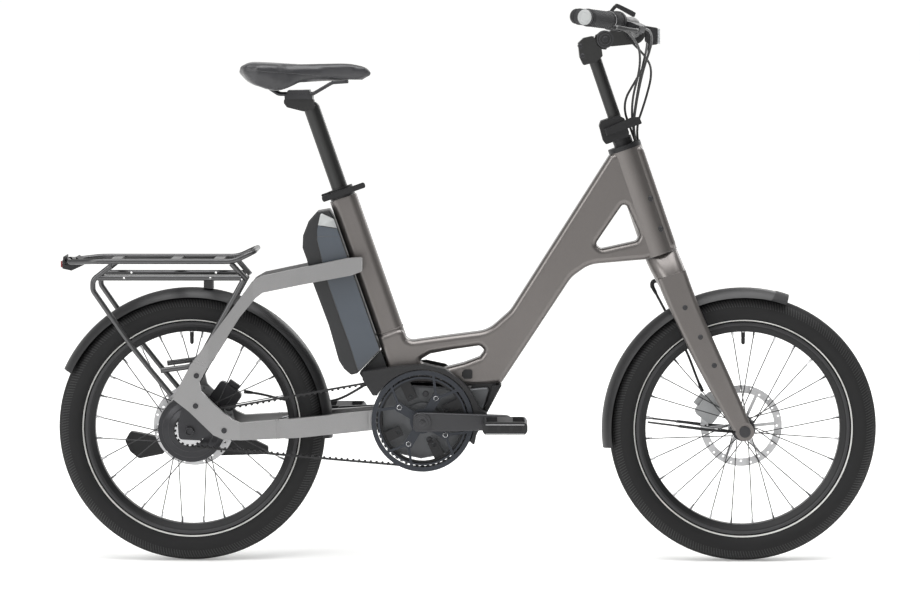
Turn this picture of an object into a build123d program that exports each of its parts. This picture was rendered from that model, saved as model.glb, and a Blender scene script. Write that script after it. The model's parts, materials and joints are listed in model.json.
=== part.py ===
from build123d import *
from math import asin, atan2, cos, pi, radians, sin, sqrt, tan
import os

# Compact electric city bicycle on 20-inch wheels.
# +X runs forward, +Y to the rider's left, +Z up. The origin is on the ground, midway between the axles.

# Overall sizes
WHEELBASE = 1078.0
TYRE_RADIUS = 261.0
CRANK_LENGTH = 160.0
BRACKET_HEIGHT = 281.0
BAR_HALF_WIDTH = 305.0
SEAT_POST_SHOWN = 190.0

# Clearances
FIT = 0.05
GAP = 0.3

# Wheels
TYRE_HALF_WIDTH = 28.5
RIM_RADIUS = 209.0
RIM_INNER_RADIUS = 190.0
RIM_HALF_WIDTH = 15.0
BEAD_RADIUS = 203.5
SPOKES = 28
SPOKE_RADIUS = 1.0
ROTOR_RADIUS = 80.0
ROTOR_THICKNESS = 2.0
FRONT_ROTOR_Y = 36.0
REAR_ROTOR_Y = 43.0
AXLE_RADIUS = 6.0
REAR_SHELL_RADIUS = 65.0

# Belt drive
BELT_PITCH = 11.0
FRONT_TEETH = 52
REAR_TEETH = 18
BELT_SPAN = 452.6
BELT_Y = -52.0
BELT_WIDTH = 12.0
BELT_BACK = 1.6
BELT_INSIDE = 1.4
BOLT_CIRCLE = 104.0
GUARD_RADIUS = 99.0
GUARD_BREADTH = 9.0

# Frame
FRAME_WIDTH = 52.0
FRAME_WALL = 6.0
FRAME_EDGE = 13.0
HEAD_ANGLE = 19.0
HEAD_TOP_X = 307.5
HEAD_TOP_Z = 806.5
HEAD_LENGTH = 215.0
HEAD_DEPTH = 66.0
SEAT_ANGLE = 19.2
SEAT_TOP_X = -242.0
SEAT_TOP_Z = 712.0
SEAT_DEPTH = 54.0
SEAT_WIDTH = 44.0
SEAT_TUBE_LENGTH = 276.0
POST_RADIUS = 15.8
POST_INSERTED = 190.0
STEERER_RADIUS = 14.3
MAST_RADIUS = 12.7
BEARING_RADIUS = 20.5
STAY_THICKNESS = 15.0
DROPOUT_INSIDE = 66.0
DROPOUT_THICKNESS = 14.0

# Rack
RACK_HALF_WIDTH = 70.0
RACK_TUBE = 5.2
RACK_TOP_Z = 592.0
PANNIER_RAIL_Z = 560.0
RACK_HOLE_SPACING = 167.0
RACK_HOLE_RADIUS = 2.25
RACK_HOLE_MIDDLE = -580.0

# Fenders
FENDER_RADIUS = 276.0
FENDER_HALF_WIDTH = 33.0
FENDER_EDGE_RADIUS = 258.0
FENDER_THICKNESS = 2.0

# Battery
BATTERY_HALF_WIDTH = 42.0
MOTOR_WALL = 5.0

# Stem lever, in the steering frame
LEVER_PIVOT_X = -24.0
LEVER_PIVOT_Y = 27.6
LEVER_PIVOT_RADIUS = 3.3

# Brake levers
LEVER_HALF = 3.5
LEVER_EYE = 6.0

# Cords
HOSE_RADIUS = 2.5
CABLE_RADIUS = 2.3

# Places worked out from the sizes
FRONT_X = WHEELBASE / 2
REAR_X = -WHEELBASE / 2
REAR_PITCH_RADIUS = REAR_TEETH * BELT_PITCH / (2 * pi)
FRONT_PITCH_RADIUS = FRONT_TEETH * BELT_PITCH / (2 * pi)
BRACKET_X = REAR_X + sqrt(BELT_SPAN**2 - (BRACKET_HEIGHT - TYRE_RADIUS) ** 2)
HEAD_SIN = sin(radians(HEAD_ANGLE))
HEAD_COS = cos(radians(HEAD_ANGLE))
SEAT_SIN = sin(radians(SEAT_ANGLE))
SEAT_COS = cos(radians(SEAT_ANGLE))
HEAD = Plane((HEAD_TOP_X, 0, HEAD_TOP_Z), x_dir=(HEAD_COS, 0, HEAD_SIN), z_dir=(-HEAD_SIN, 0, HEAD_COS))
SEAT = Plane((SEAT_TOP_X, 0, SEAT_TOP_Z), x_dir=(SEAT_COS, 0, SEAT_SIN), z_dir=(-SEAT_SIN, 0, SEAT_COS))
FRONT_HUB = Pos(FRONT_X, 0, TYRE_RADIUS)
REAR_HUB = Pos(REAR_X, 0, TYRE_RADIUS)
BRACKET = Pos(BRACKET_X, 0, BRACKET_HEIGHT)


# Shared shapes


def side_face(points, rounding=0.0):
    """Flat face of a side outline, with rounded corners."""
    if rounding == 0.0:
        return make_face(Polyline(*points, close=True))
    return make_face(FilletPolyline(*points, radius=rounding, close=True))


def side_slab(points, low_y, high_y, rounding=0.0):
    """Prism of a side outline between two planes across the width."""
    plane = Plane((0, low_y, 0), x_dir=(1, 0, 0), z_dir=(0, -1, 0))
    return extrude(plane * side_face(points, rounding), amount=high_y - low_y, dir=(0, 1, 0))


def plan_slab(points, low_z, high_z, rounding=0.0):
    """Prism of a plan outline between two heights."""
    return extrude(Pos(0, 0, low_z) * side_face(points, rounding), amount=high_z - low_z)


def two_view(side_points, plan_points, rounding=0.0, plan_rounding=0.0):
    """Solid whose side view and plan view are the two outlines."""
    ys = [point[1] for point in plan_points]
    zs = [point[1] for point in side_points]
    side = side_slab(side_points, min(ys) - 1, max(ys) + 1, rounding)
    return side & plan_slab(plan_points, min(zs) - 1, max(zs) + 1, plan_rounding)


def cross_cylinder(radius, low_y, high_y):
    """Cylinder along the width, between two planes."""
    return Pos(0, (low_y + high_y) / 2, 0) * Rot(X=90) * Cylinder(radius, high_y - low_y)


def cross_ring(outer, inner, low_y, high_y):
    return cross_cylinder(outer, low_y, high_y) - cross_cylinder(inner, low_y - 1, high_y + 1)


def axis_ring(outer, inner, low_z, high_z):
    """Ring about the local Z axis, between two heights."""
    ring = Pos(0, 0, (low_z + high_z) / 2) * Cylinder(outer, high_z - low_z)
    return ring - Pos(0, 0, (low_z + high_z) / 2) * Cylinder(inner, high_z - low_z + 2)


def axis_rod(radius, low_z, high_z):
    return Pos(0, 0, (low_z + high_z) / 2) * Cylinder(radius, high_z - low_z)


def rod_between(start, end, radius):
    line = Line(start, end)
    return extrude(Plane(start, z_dir=line % 0) * Circle(radius), amount=line.length)


def bent_tube(points, radius, bend):
    """Round bar along straight runs joined by arcs of one radius."""
    path = FilletPolyline(*points, radius=bend)
    return sweep(Plane(path @ 0, z_dir=path % 0) * Circle(radius), path=path)


def mirrored(shape):
    return mirror(shape, about=Plane.XZ)


def cord(name, points, radius):
    """Flexible tube whose arcs are as large as their two runs allow."""
    bends = []
    for before, here, after in zip(points, points[1:], points[2:]):
        run_in = Vector(*here) - Vector(*before)
        run_out = Vector(*after) - Vector(*here)
        turn = radians(run_in.get_angle(run_out))
        bends.append(0.45 * min(run_in.length, run_out.length) / tan(turn / 2))
    path = FilletPolyline(*points, radius=bends)
    tube = sweep(Plane(path @ 0, z_dir=path % 0) * Circle(radius), path=path)
    expected = pi * radius**2 * path.length
    print(name, "length", round(path.length, 1), "radii", [round(bend) for bend in bends])
    print(name, "volume share", round(tube.volume / expected, 4))
    return tube


def write(name, *solids):
    """One STEP file per node; several solids stay separate inside it."""
    bodies = []
    for solid in solids:
        bodies.extend(solid.solids())
    shape = bodies[0] if len(bodies) == 1 else Compound(children=bodies)
    shape.label = name
    export_step(shape, "parts/" + name + ".step")


# Wheels


def revolve_wheel(points):
    return revolve(Plane.YZ * make_face(Polyline(*points, close=True)), axis=Axis.Y)


def tyre():
    crown_half = 19.0
    crown_radius = TYRE_RADIUS - 7
    bulge_radius = RIM_RADIUS + 22
    bead_half = RIM_HALF_WIDTH - 3.2
    outer = [
        Line((bead_half, BEAD_RADIUS + GAP), (bead_half, RIM_RADIUS + 1)),
        ThreePointArc((bead_half, RIM_RADIUS + 1), (TYRE_HALF_WIDTH, bulge_radius),
            (crown_half, crown_radius)),
        ThreePointArc((crown_half, crown_radius), (0, TYRE_RADIUS), (-crown_half, crown_radius)),
        ThreePointArc((-crown_half, crown_radius), (-TYRE_HALF_WIDTH, bulge_radius),
            (-bead_half, RIM_RADIUS + 1)),
        Line((-bead_half, RIM_RADIUS + 1), (-bead_half, BEAD_RADIUS + GAP)),
        Line((-bead_half, BEAD_RADIUS + GAP), (-bead_half + 4, BEAD_RADIUS + GAP)),
    ]
    wall = 4.0
    tread = 7.0
    inner = [
        Line((-bead_half + wall, BEAD_RADIUS + GAP), (-bead_half + wall, RIM_RADIUS + 1)),
        ThreePointArc(
            (-bead_half + wall, RIM_RADIUS + 1),
            (-TYRE_HALF_WIDTH + wall, bulge_radius),
            (-crown_half + 2, crown_radius - tread),
        ),
        ThreePointArc((-crown_half + 2, crown_radius - tread), (0, TYRE_RADIUS - tread),
            (crown_half - 2, crown_radius - tread)),
        ThreePointArc(
            (crown_half - 2, crown_radius - tread), (TYRE_HALF_WIDTH - wall, bulge_radius),
            (bead_half - wall, RIM_RADIUS + 1)
        ),
        Line((bead_half - wall, RIM_RADIUS + 1), (bead_half - wall, BEAD_RADIUS + GAP)),
        Line((bead_half - wall, BEAD_RADIUS + GAP), (bead_half, BEAD_RADIUS + GAP)),
    ]
    return revolve(Plane.YZ * make_face(Wire(outer + inner)), axis=Axis.Y)


def rim():
    flange = RIM_HALF_WIDTH
    lip = flange - 2.6
    base = flange - 6
    shell = revolve_wheel([
        (flange, RIM_RADIUS), (lip, RIM_RADIUS), (lip, BEAD_RADIUS), (6, BEAD_RADIUS - 3), (-6,
            BEAD_RADIUS - 3),
        (-lip, BEAD_RADIUS), (-lip, RIM_RADIUS), (-flange, RIM_RADIUS), (-flange, BEAD_RADIUS - 4),
        (-base, RIM_INNER_RADIUS), (base, RIM_INNER_RADIUS), (flange, BEAD_RADIUS - 4),
    ])
    chamber = revolve_wheel([
        (flange - 3, BEAD_RADIUS - 4.5), (base - 2, RIM_INNER_RADIUS + 2.5),
        (-base + 2, RIM_INNER_RADIUS + 2.5), (-flange + 3, BEAD_RADIUS - 4.5), (0, BEAD_RADIUS - 5.5),
    ])
    valve_hole = Pos(0, 0, RIM_INNER_RADIUS + 5) * Cylinder(4.2, 24)
    return shell - chamber - valve_hole


def valve():
    """Valve stem with its cap, standing in the rim's valve hole."""
    return axis_rod(4.0, RIM_INNER_RADIUS - 12, BEAD_RADIUS - 3.5) + axis_rod(3.2,
        RIM_INNER_RADIUS - 24, RIM_INNER_RADIUS - 12)


def spokes(flange_radius, flange_y, spread):
    """Crossed steel spokes from the two hub flanges to the rim."""
    rods = []
    for number in range(SPOKES):
        side = 1 if number % 2 else -1
        lean = 1 if (number // 2) % 2 else -1
        rim_angle = 360 / SPOKES * (number + 0.5)
        hub_angle = radians(rim_angle + lean * spread)
        rim_turn = radians(rim_angle)
        hub_y = side * (flange_y + lean * 2.2)
        start = (flange_radius * sin(hub_angle), hub_y, flange_radius * cos(hub_angle))
        reach = RIM_INNER_RADIUS - GAP
        end = (reach * sin(rim_turn), side * 2.0, reach * cos(rim_turn))
        rods.append(rod_between(start, end, SPOKE_RADIUS))
    return rods


def front_hub():
    shell = cross_ring(13, AXLE_RADIUS + FIT, -42, 42)
    for side in (-1, 1):
        shell += Pos(0, side * 26, 0) * cross_ring(23, 12, -4.5, 4.5)
    shell += cross_ring(19, 12, FRONT_ROTOR_Y - ROTOR_THICKNESS / 2 - 4, FRONT_ROTOR_Y - ROTOR_THICKNESS / 2)
    return shell


def rear_hub():
    """Large gear hub: a drum between two spoke flanges, stepping down to the axle."""
    drum = cross_ring(REAR_SHELL_RADIUS - 5, AXLE_RADIUS + FIT, -26, 26)
    for side in (-1, 1):
        drum += Pos(0, side * 24, 0) * cross_ring(REAR_SHELL_RADIUS, 30, -4.5, 4.5)
    step = revolve_wheel([
        (-45, AXLE_RADIUS + FIT), (-45, 22), (-41, 30), (-28.5, 56), (28.5, 56),
        (36, 30), (REAR_ROTOR_Y - ROTOR_THICKNESS / 2, 24), (REAR_ROTOR_Y - ROTOR_THICKNESS / 2,
            AXLE_RADIUS + FIT),
    ])
    gear_room = cross_ring(REAR_SHELL_RADIUS - 12, 24, -22, 22)
    return drum + step - gear_room


def rotor(bore):
    """Brake disc: slotted ring on six curved-out arms round a carrier."""
    half = ROTOR_THICKNESS / 2
    disc = cross_ring(ROTOR_RADIUS, ROTOR_RADIUS - 15, -half, half)
    disc += cross_ring(24, bore, -half, half)
    for turn in range(6):
        arm = Pos(22, 0, 44) * Rot(Y=24) * Box(6, ROTOR_THICKNESS, 52)
        disc += Rot(Y=60 * turn) * (arm & cross_ring(ROTOR_RADIUS - 10, bore, -half, half))
    for turn in range(24):
        hole = Pos(0, 0, ROTOR_RADIUS - (5 if turn % 2 else 10)) * cross_cylinder(2.2, -2, 2)
        disc -= Rot(Y=15 * turn) * hole
    return disc


def toothed_ring(teeth, pitch_radius, bore, half_width):
    """Belt pulley with flat-bottomed grooves between its teeth."""
    land = pitch_radius - BELT_INSIDE - GAP
    ring = cross_ring(land, bore, -half_width, half_width)
    groove = Pos(0, 0, land) * Box(5.0, 4 * half_width, 6.4)
    grooves = [Rot(Y=360 / teeth * (turn + 0.5)) * groove for turn in range(teeth)]
    return ring - grooves


def belt():
    """Closed belt round both pulleys, as tangent runs and arcs."""
    lean = asin((FRONT_PITCH_RADIUS - REAR_PITCH_RADIUS) / BELT_SPAN)
    rise = atan2(BRACKET_HEIGHT - TYRE_RADIUS, BRACKET_X - REAR_X)
    loops = []
    for offset in (BELT_BACK, -BELT_INSIDE):
        corners = []
        for sign in (1, -1):
            normal = rise + sign * (pi / 2 + lean)
            for centre_x, centre_z, pitch in (
                (REAR_X, TYRE_RADIUS, REAR_PITCH_RADIUS),
                (BRACKET_X, BRACKET_HEIGHT, FRONT_PITCH_RADIUS),
            ):
                reach = pitch + offset
                corners.append((centre_x + reach * cos(normal), centre_z + reach * sin(normal)))
        quad = make_face(Polyline(corners[0], corners[1], corners[3], corners[2], close=True))
        rear = Pos(REAR_X, TYRE_RADIUS) * Circle(REAR_PITCH_RADIUS + offset)
        front = Pos(BRACKET_X, BRACKET_HEIGHT) * Circle(FRONT_PITCH_RADIUS + offset)
        plane = Plane((0, BELT_Y - BELT_WIDTH / 2 + 0.5, 0), x_dir=(1, 0, 0), z_dir=(0, -1, 0))
        filled = quad + rear + front
        loops.append(extrude(plane * filled, amount=BELT_WIDTH - 1, dir=(0, 1, 0)))
    return loops[0] - loops[1]


# Frame


def head_point(x, z):
    """Side-view place of a point given in the steering frame."""
    return (HEAD_TOP_X + x * HEAD_COS - z * HEAD_SIN, HEAD_TOP_Z + x * HEAD_SIN + z * HEAD_COS)


def seat_point(x, z):
    """Side-view place of a point given in the seat tube's frame."""
    return (SEAT_TOP_X + x * SEAT_COS - z * SEAT_SIN, SEAT_TOP_Z + x * SEAT_SIN + z * SEAT_COS)


def frame_outline():
    half = HEAD_DEPTH / 2
    seat_half = SEAT_DEPTH / 2
    return [
        head_point(-half, 0),
        head_point(half, 0),
        head_point(half, -HEAD_LENGTH),
        head_point(-half, -HEAD_LENGTH),
        (238, 583),
        (203, 558),
        (66, 349),
        (-12, 344),
        (-60, 350),
        seat_point(-seat_half, -SEAT_TUBE_LENGTH - 94),
        seat_point(-seat_half, -SEAT_TUBE_LENGTH),
        seat_point(seat_half, -SEAT_TUBE_LENGTH),
        (-118, 432),
        (-30, 444),
        (40, 453),
        (84, 492),
    ]


def frame_corners():
    """Rounding of each outline corner, in the outline's order."""
    edge = FRAME_EDGE
    return [edge, edge, edge, edge, 60, 60, 14, 100, 100, edge, edge, edge, 16, 120, 60, 60]


def frame_windows():
    triangle = [(306, 706), (335, 641), (329, 628), (262, 613), (249, 622)]
    slot = [(-100, 391), (-72, 408), (-30, 416), (24, 424), (34, 415), (24, 401), (-8, 389), (-48, 379)]
    return [(triangle, 7), (slot, 6)]


def front_frame():
    """Head tube, main tube, strut and low beam in one welded hollow, with round edges."""
    face = make_face(FilletPolyline(*frame_outline(), radius=frame_corners(), close=True))
    inner = offset(face, -FRAME_WALL)
    for points, rounding in frame_windows():
        window = side_face(points, rounding)
        face -= window
        inner -= offset(window, FRAME_WALL - 1)
    plane = Plane((0, -FRAME_WIDTH / 2, 0), x_dir=(1, 0, 0), z_dir=(0, -1, 0))
    body = extrude(plane * face, amount=FRAME_WIDTH, dir=(0, 1, 0))
    sides = body.faces().filter_by(Axis.Y).sort_by(Axis.Y)
    body = fillet(sides[0].edges() + sides[-1].edges(), FRAME_EDGE - 2)
    body += HEAD * axis_rod(HEAD_DEPTH / 2, -HEAD_LENGTH, 0)
    body += SEAT * seat_section(-SEAT_TUBE_LENGTH - 30, -SEAT_TUBE_LENGTH)
    deep = FRAME_WIDTH - 2 * FRAME_WALL
    plane = Plane((0, -deep / 2, 0), x_dir=(1, 0, 0), z_dir=(0, -1, 0))
    body -= extrude(plane * inner, amount=deep, dir=(0, 1, 0))
    body += HEAD * axis_rod(BEARING_RADIUS + 5, -HEAD_LENGTH, 0)
    body -= HEAD * axis_rod(STEERER_RADIUS + 2.5, -HEAD_LENGTH - 1, 1)
    body -= HEAD * axis_rod(BEARING_RADIUS + FIT, -12, 1)
    body -= HEAD * axis_rod(BEARING_RADIUS + FIT, -HEAD_LENGTH - 1, -HEAD_LENGTH + 12)
    cable_way = Pos(11, 0, -37) * Box(37, 50, 76)
    round_way = axis_ring(29, BEARING_RADIUS + 0.8, -75, 1)
    body -= HEAD * (cable_way & round_way)
    return body


def seat_section(low_z, high_z):
    """Rounded box that the seat tube is drawn from."""
    tube = Pos(0, 0, (low_z + high_z) / 2) * Box(SEAT_DEPTH, SEAT_WIDTH, high_z - low_z)
    return fillet(tube.edges().filter_by(Axis.Z), 16)


def seat_tube():
    """Straight tube welded on the frame, with a slotted round neck for the clamp."""
    tube = seat_section(-SEAT_TUBE_LENGTH + GAP / 2, 0)
    tube += axis_rod(POST_RADIUS + 3, -1, 20)
    tube -= axis_rod(POST_RADIUS + FIT, -SEAT_TUBE_LENGTH - 1, 21)
    tube -= Pos(-SEAT_DEPTH / 2, 0, 11) * Box(SEAT_DEPTH, 2, 20)
    return SEAT * tube


def stay_bend_points():
    return [
        (-204, 600), (-232, 598), (-323, 579), (-398, 563), (-417, 552), (-430, 534), (-536, 391),
        (-571, 326),
        (-538, 300), (-492, 255), (-474, 247), (-440, 245), (-324, 248), (-170, 262), (-170, 300),
        (-285, 290),
        (-357, 284), (-440, 278), (-456, 285), (-492, 316), (-515, 340), (-519, 358), (-508, 378),
        (-440, 484),
        (-410, 520), (-396, 531), (-323, 546), (-226, 564), (-204, 572),
    ]


def stay_side(side):
    """One silver side: upper stay, dropout and chainstay in one weldment, bowed out round the hub."""
    outer = DROPOUT_INSIDE + DROPOUT_THICKNESS
    upper_in = BATTERY_HALF_WIDTH + 5
    lower_in = FENDER_HALF_WIDTH + 3
    wide = STAY_THICKNESS
    lower_plan = [
        (-580, DROPOUT_INSIDE), (-470, DROPOUT_INSIDE), (-300, lower_in + 8), (-230, lower_in), (-165,
            lower_in),
        (-165, lower_in + 8), (-192, lower_in + 8), (-236, lower_in + wide), (-300, lower_in + 8 + wide),
        (-440, outer), (-580, outer),
    ]
    upper_plan = [
        (-580, DROPOUT_INSIDE), (-500, DROPOUT_INSIDE), (-415, upper_in + 4), (-200, upper_in),
        (-200, upper_in + wide), (-415, upper_in + 4 + wide), (-500, outer), (-580, outer),
    ]
    outline = side_slab(stay_bend_points(), 20, 100, 2.5)
    lower = outline & plan_slab(lower_plan, 200, 378)
    upper = outline & plan_slab(upper_plan, 377, 640)
    lug = Pos(-213, (upper_in + SEAT_WIDTH / 2) / 2 + GAP / 2, 585) * Box(13,
        upper_in - SEAT_WIDTH / 2 - GAP + 1, 14)
    foot = Pos(-178, lower_in - 1, 281) * Box(20, 6, 30)
    weldment = lower + upper + lug + foot
    for x, z in dropout_screw_places():
        weldment -= Pos(x, 0, z) * cross_cylinder(3.0, DROPOUT_INSIDE - 5, outer + 5)
    return weldment if side > 0 else mirrored(weldment)


def dropout_screw_places():
    return [(-524, 371), (-526, 312), (-471, 264)]


def axle_hardware():
    """Rear axle, its two slotted plates inside the dropouts, the nuts and the plate screws."""
    outer = DROPOUT_INSIDE + DROPOUT_THICKNESS
    outline = [(-560, 245), (-520, 243), (-488, 262), (-502, 292), (-514, 330), (-540, 330),
        (-556, 300), (-562, 276)]
    solids = [REAR_HUB * cross_cylinder(AXLE_RADIUS, -DROPOUT_INSIDE - 6, DROPOUT_INSIDE + 6)]
    for side in (-1, 1):
        plate = side_slab(outline, DROPOUT_INSIDE - 5 - GAP, DROPOUT_INSIDE - GAP, 8)
        plate -= REAR_HUB * cross_cylinder(AXLE_RADIUS + GAP, 0, 90)
        plate -= Pos(dropout_screw_places()[1][0], 0,
            dropout_screw_places()[1][1]) * cross_cylinder(3.2, 0, 90)
        nut = extrude(Plane.XZ * RegularPolygon(9.5, 6), amount=9)
        nut = Pos(REAR_X, DROPOUT_INSIDE + 9.5, TYRE_RADIUS) * nut
        nut -= REAR_HUB * cross_cylinder(AXLE_RADIUS + GAP, 0, 90)
        group = [plate, nut]
        for x, z in dropout_screw_places():
            screw = cross_cylinder(2.7, DROPOUT_INSIDE, outer + GAP) + cross_cylinder(5.2, outer + GAP,
                outer + 3)
            screw -= cross_cylinder(2.2, outer + 1, outer + 4)
            group.append(Pos(x, 0, z) * screw)
        solids.extend(group if side > 0 else [mirrored(solid) for solid in group])
    return solids


# Battery and motor


def battery_back():
    return [
        (-214, 371), (-226, 368), (-240, 380), (-250, 396), (-269, 464), (-300, 548), (-312, 594),
        (-320, 616),
        (-319, 640), (-308, 668), (-292, 686), (-268, 690),
    ]


def battery_case():
    """Battery shell behind the seat tube, with the cell space inside."""
    front = [seat_point(-SEAT_DEPTH / 2 - 1.5, -30), seat_point(-SEAT_DEPTH / 2 - 1.5, -303)]
    outline = battery_back() + [front[0], front[1]]
    case = side_slab(outline, -BATTERY_HALF_WIDTH + 5, BATTERY_HALF_WIDTH - 5, 4)
    case = fillet(case.faces().sort_by(Axis.Y)[0].edges() + case.faces().sort_by(Axis.Y)[-1].edges(), 3)
    cells = Pos(-266, 0, 540) * Rot(Y=SEAT_ANGLE * -1) * Box(30, 60, 210)
    return case - cells


def battery_panels():
    """The two side shells and the light panels at their tops."""
    rear = [(-212, 376), (-228, 427), (-247, 480), (-266, 535), (-281, 589), (-291, 632), (-291, 651),
        (-284, 684)]
    front = [seat_point(-SEAT_DEPTH / 2 - 2, -32), seat_point(-SEAT_DEPTH / 2 - 2, -301)]
    split = seat_point(0, -78)[1]
    solids = []
    for side in (-1, 1):
        shell = side_slab(rear + front, BATTERY_HALF_WIDTH - 5 + GAP, BATTERY_HALF_WIDTH, 3)
        upper = shell & (Pos(-260, 40, split + 100) * Box(300, 60, 200 - GAP))
        lower = shell & (Pos(-260, 40, split - 200) * Box(300, 60, 400 - GAP))
        for piece in (lower, upper):
            solids.append(piece if side > 0 else mirrored(piece))
    return solids


def battery_mount():
    """Lower holder the battery stands in, wrapped round the seat tube's foot."""
    front = -SEAT_DEPTH / 2 - 1
    outline = [(-210, 370), seat_point(front, -306), seat_point(front, -345), (-164, 364), (-203, 360)]
    wide = BATTERY_HALF_WIDTH - 12
    body = side_slab(outline, -wide, wide)
    pin = Pos(-196, 0, 368) * cross_cylinder(3, -wide - 3, wide + 3)
    return body + pin


def motor_unit():
    outline = [
        (-176, 322), (-162, 346), (-140, 349), (-60, 345), (-14, 339), (45, 344), (28, 292), (6, 246),
        (-32, 214),
        (-90, 203), (-140, 214), (-168, 240), (-168, 310),
    ]
    shell = side_slab(outline, -FENDER_HALF_WIDTH + 1, FENDER_HALF_WIDTH - 1, 6)
    shell = fillet(shell.faces().sort_by(Axis.Y)[0].edges() + shell.faces().sort_by(Axis.Y)[-1].edges(), 4)
    inside = FENDER_HALF_WIDTH - 1 - MOTOR_WALL
    space = offset(side_face(outline, 6), -MOTOR_WALL)
    plane = Plane((0, -inside, 0), x_dir=(1, 0, 0), z_dir=(0, -1, 0))
    shell -= extrude(plane * space, amount=2 * inside, dir=(0, 1, 0))
    shell += BRACKET * cross_cylinder(34, -40, 38)
    return shell - BRACKET * cross_cylinder(11 + FIT, -45, 45)


def cover_outline():
    return [
        (-203, 377), (-203, 362), (-183, 331), (-60, 331), (0, 247), (14, 233), (19, 259), (40, 296),
        (26, 303),
        (6, 341), (-14, 362), (-43, 383), (-81, 391), (-140, 386),
    ]


def motor_covers():
    """Right shroud over the belt ring, left motor cover and the skid plate in front."""
    outline = cover_outline()
    hole = BRACKET * cross_cylinder(GUARD_RADIUS + 2, -90, 90)
    shroud = side_slab(outline, -66, -34, 3)
    pocket = offset(side_face(outline, 3), -3)
    plane = Plane((0, -63, 0), x_dir=(1, 0, 0), z_dir=(0, -1, 0))
    shroud -= extrude(plane * pocket, amount=40, dir=(0, 1, 0))
    shroud -= hole
    belt_way = side_slab([(-230, 300), (-150, 300), (-150, 380), (-230, 374)], -62, -20)
    shroud -= belt_way
    left = side_slab(outline[:3] + [(-168, 240), (-140, 214), (-90, 203), (-32, 214)] + outline[5:], 34,
        40, 3)
    left -= BRACKET * cross_cylinder(40, 0, 90)
    left -= side_slab([(-240, 200), (-150, 200), (-150, 330), (-240, 330)], 0, 90)
    skid = side_slab([(50, 347), (67, 347), (40, 296), (18, 250), (-26, 207), (-29, 212), (10, 246),
        (32, 292)], -32, 32)
    return [shroud, left, skid]


def charge_port_cap():
    """Hinged flap over the charging socket."""
    middle_y = -FRAME_WIDTH / 2 - 2 - GAP
    cap = Pos(1, middle_y, 369) * Box(18, 4, 18)
    cap = fillet(cap.edges().filter_by(Axis.Y), 4)
    return cap + Pos(-8, middle_y, 369) * Cylinder(2, 9)


# Cranks and pedals


def crank_spider():
    """Four-armed spider and the guard ring that it holds, with two legs from each bolt."""
    near = BELT_Y - BELT_WIDTH / 2 - 2
    low, high = near - 5, near - GAP
    body = cross_ring(24, 9.5, low, high)
    body += cross_ring(GUARD_RADIUS, GUARD_RADIUS - GUARD_BREADTH, low, high)
    body += cross_ring(FRONT_PITCH_RADIUS - 4.5, FRONT_PITCH_RADIUS - 8, low, high)
    for turn in range(4):
        arm = Pos(0, (low + high) / 2, BOLT_CIRCLE / 4 + 4) * Box(17, high - low, BOLT_CIRCLE / 2 - 4)
        boss = Pos(0, 0, BOLT_CIRCLE / 2) * cross_cylinder(9, low, high)
        legs = Pos(0, 0, BOLT_CIRCLE / 2) * two_legs(low, high)
        body += Rot(Y=-25 + 90 * turn) * (arm + boss + legs)
    body &= cross_cylinder(GUARD_RADIUS, low, high)
    body -= cross_cylinder(9.5, low - 1, high + 1)
    bolts = []
    for turn in range(4):
        bolt = Pos(0, 0, BOLT_CIRCLE / 2) * (cross_cylinder(4, low - 2, BELT_Y + 1) - cross_cylinder(2,
            low - 3, low))
        hole = Pos(0, 0, BOLT_CIRCLE / 2) * cross_cylinder(4 + GAP, low - 3, high + 3)
        body -= Rot(Y=-25 + 90 * turn) * hole
        bolts.append(BRACKET * Rot(Y=-25 + 90 * turn) * bolt)
    return [BRACKET * body] + bolts


def two_legs(low, high):
    legs = None
    for lean in (-38, 38):
        leg = Rot(Y=lean) * Pos(0, (low + high) / 2, 24) * Box(5, high - low, 48)
        legs = leg if legs is None else legs + leg
    return legs


def belt_ring():
    ring = toothed_ring(FRONT_TEETH, FRONT_PITCH_RADIUS, FRONT_PITCH_RADIUS - 12, BELT_WIDTH / 2 + 0.5)
    for turn in range(4):
        tab = Pos(0, 0, BOLT_CIRCLE / 2 + 14) * Box(20, 6, 42)
        hole = Pos(0, 0, BOLT_CIRCLE / 2) * cross_cylinder(4 + GAP, -9, 9)
        ring += Rot(Y=-25 + 90 * turn) * (tab & cross_cylinder(FRONT_PITCH_RADIUS - 4, -3, 3))
        ring -= Rot(Y=-25 + 90 * turn) * hole
    return BRACKET * Pos(0, BELT_Y, 0) * ring


def crank_arms():
    """Axle through the motor and one arm on each end, half a turn apart."""
    solids = [BRACKET * (cross_cylinder(11, -44, 72) + cross_cylinder(9.2, -72, -44))]
    for side in (-1, 1):
        direction = -side
        outline = [(-18, -18), (-18, 18), (0, 19), (CRANK_LENGTH - 4, 14), (CRANK_LENGTH + 12, 13),
                   (CRANK_LENGTH + 14, -13), (CRANK_LENGTH - 4, -15), (0, -19)]
        arm = side_slab([(direction * x, z) for x, z in outline], 72 + GAP, 86, 10)
        arm = fillet(arm.faces().sort_by(Axis.Y)[-1].edges(), 3)
        arm -= Pos(direction * CRANK_LENGTH, 0, 0) * cross_cylinder(6.2 + GAP, 60, 100)
        arm += cross_cylinder(17, 86, 90)
        solids.append(BRACKET * (arm if side > 0 else mirrored(arm)))
    return solids


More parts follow.
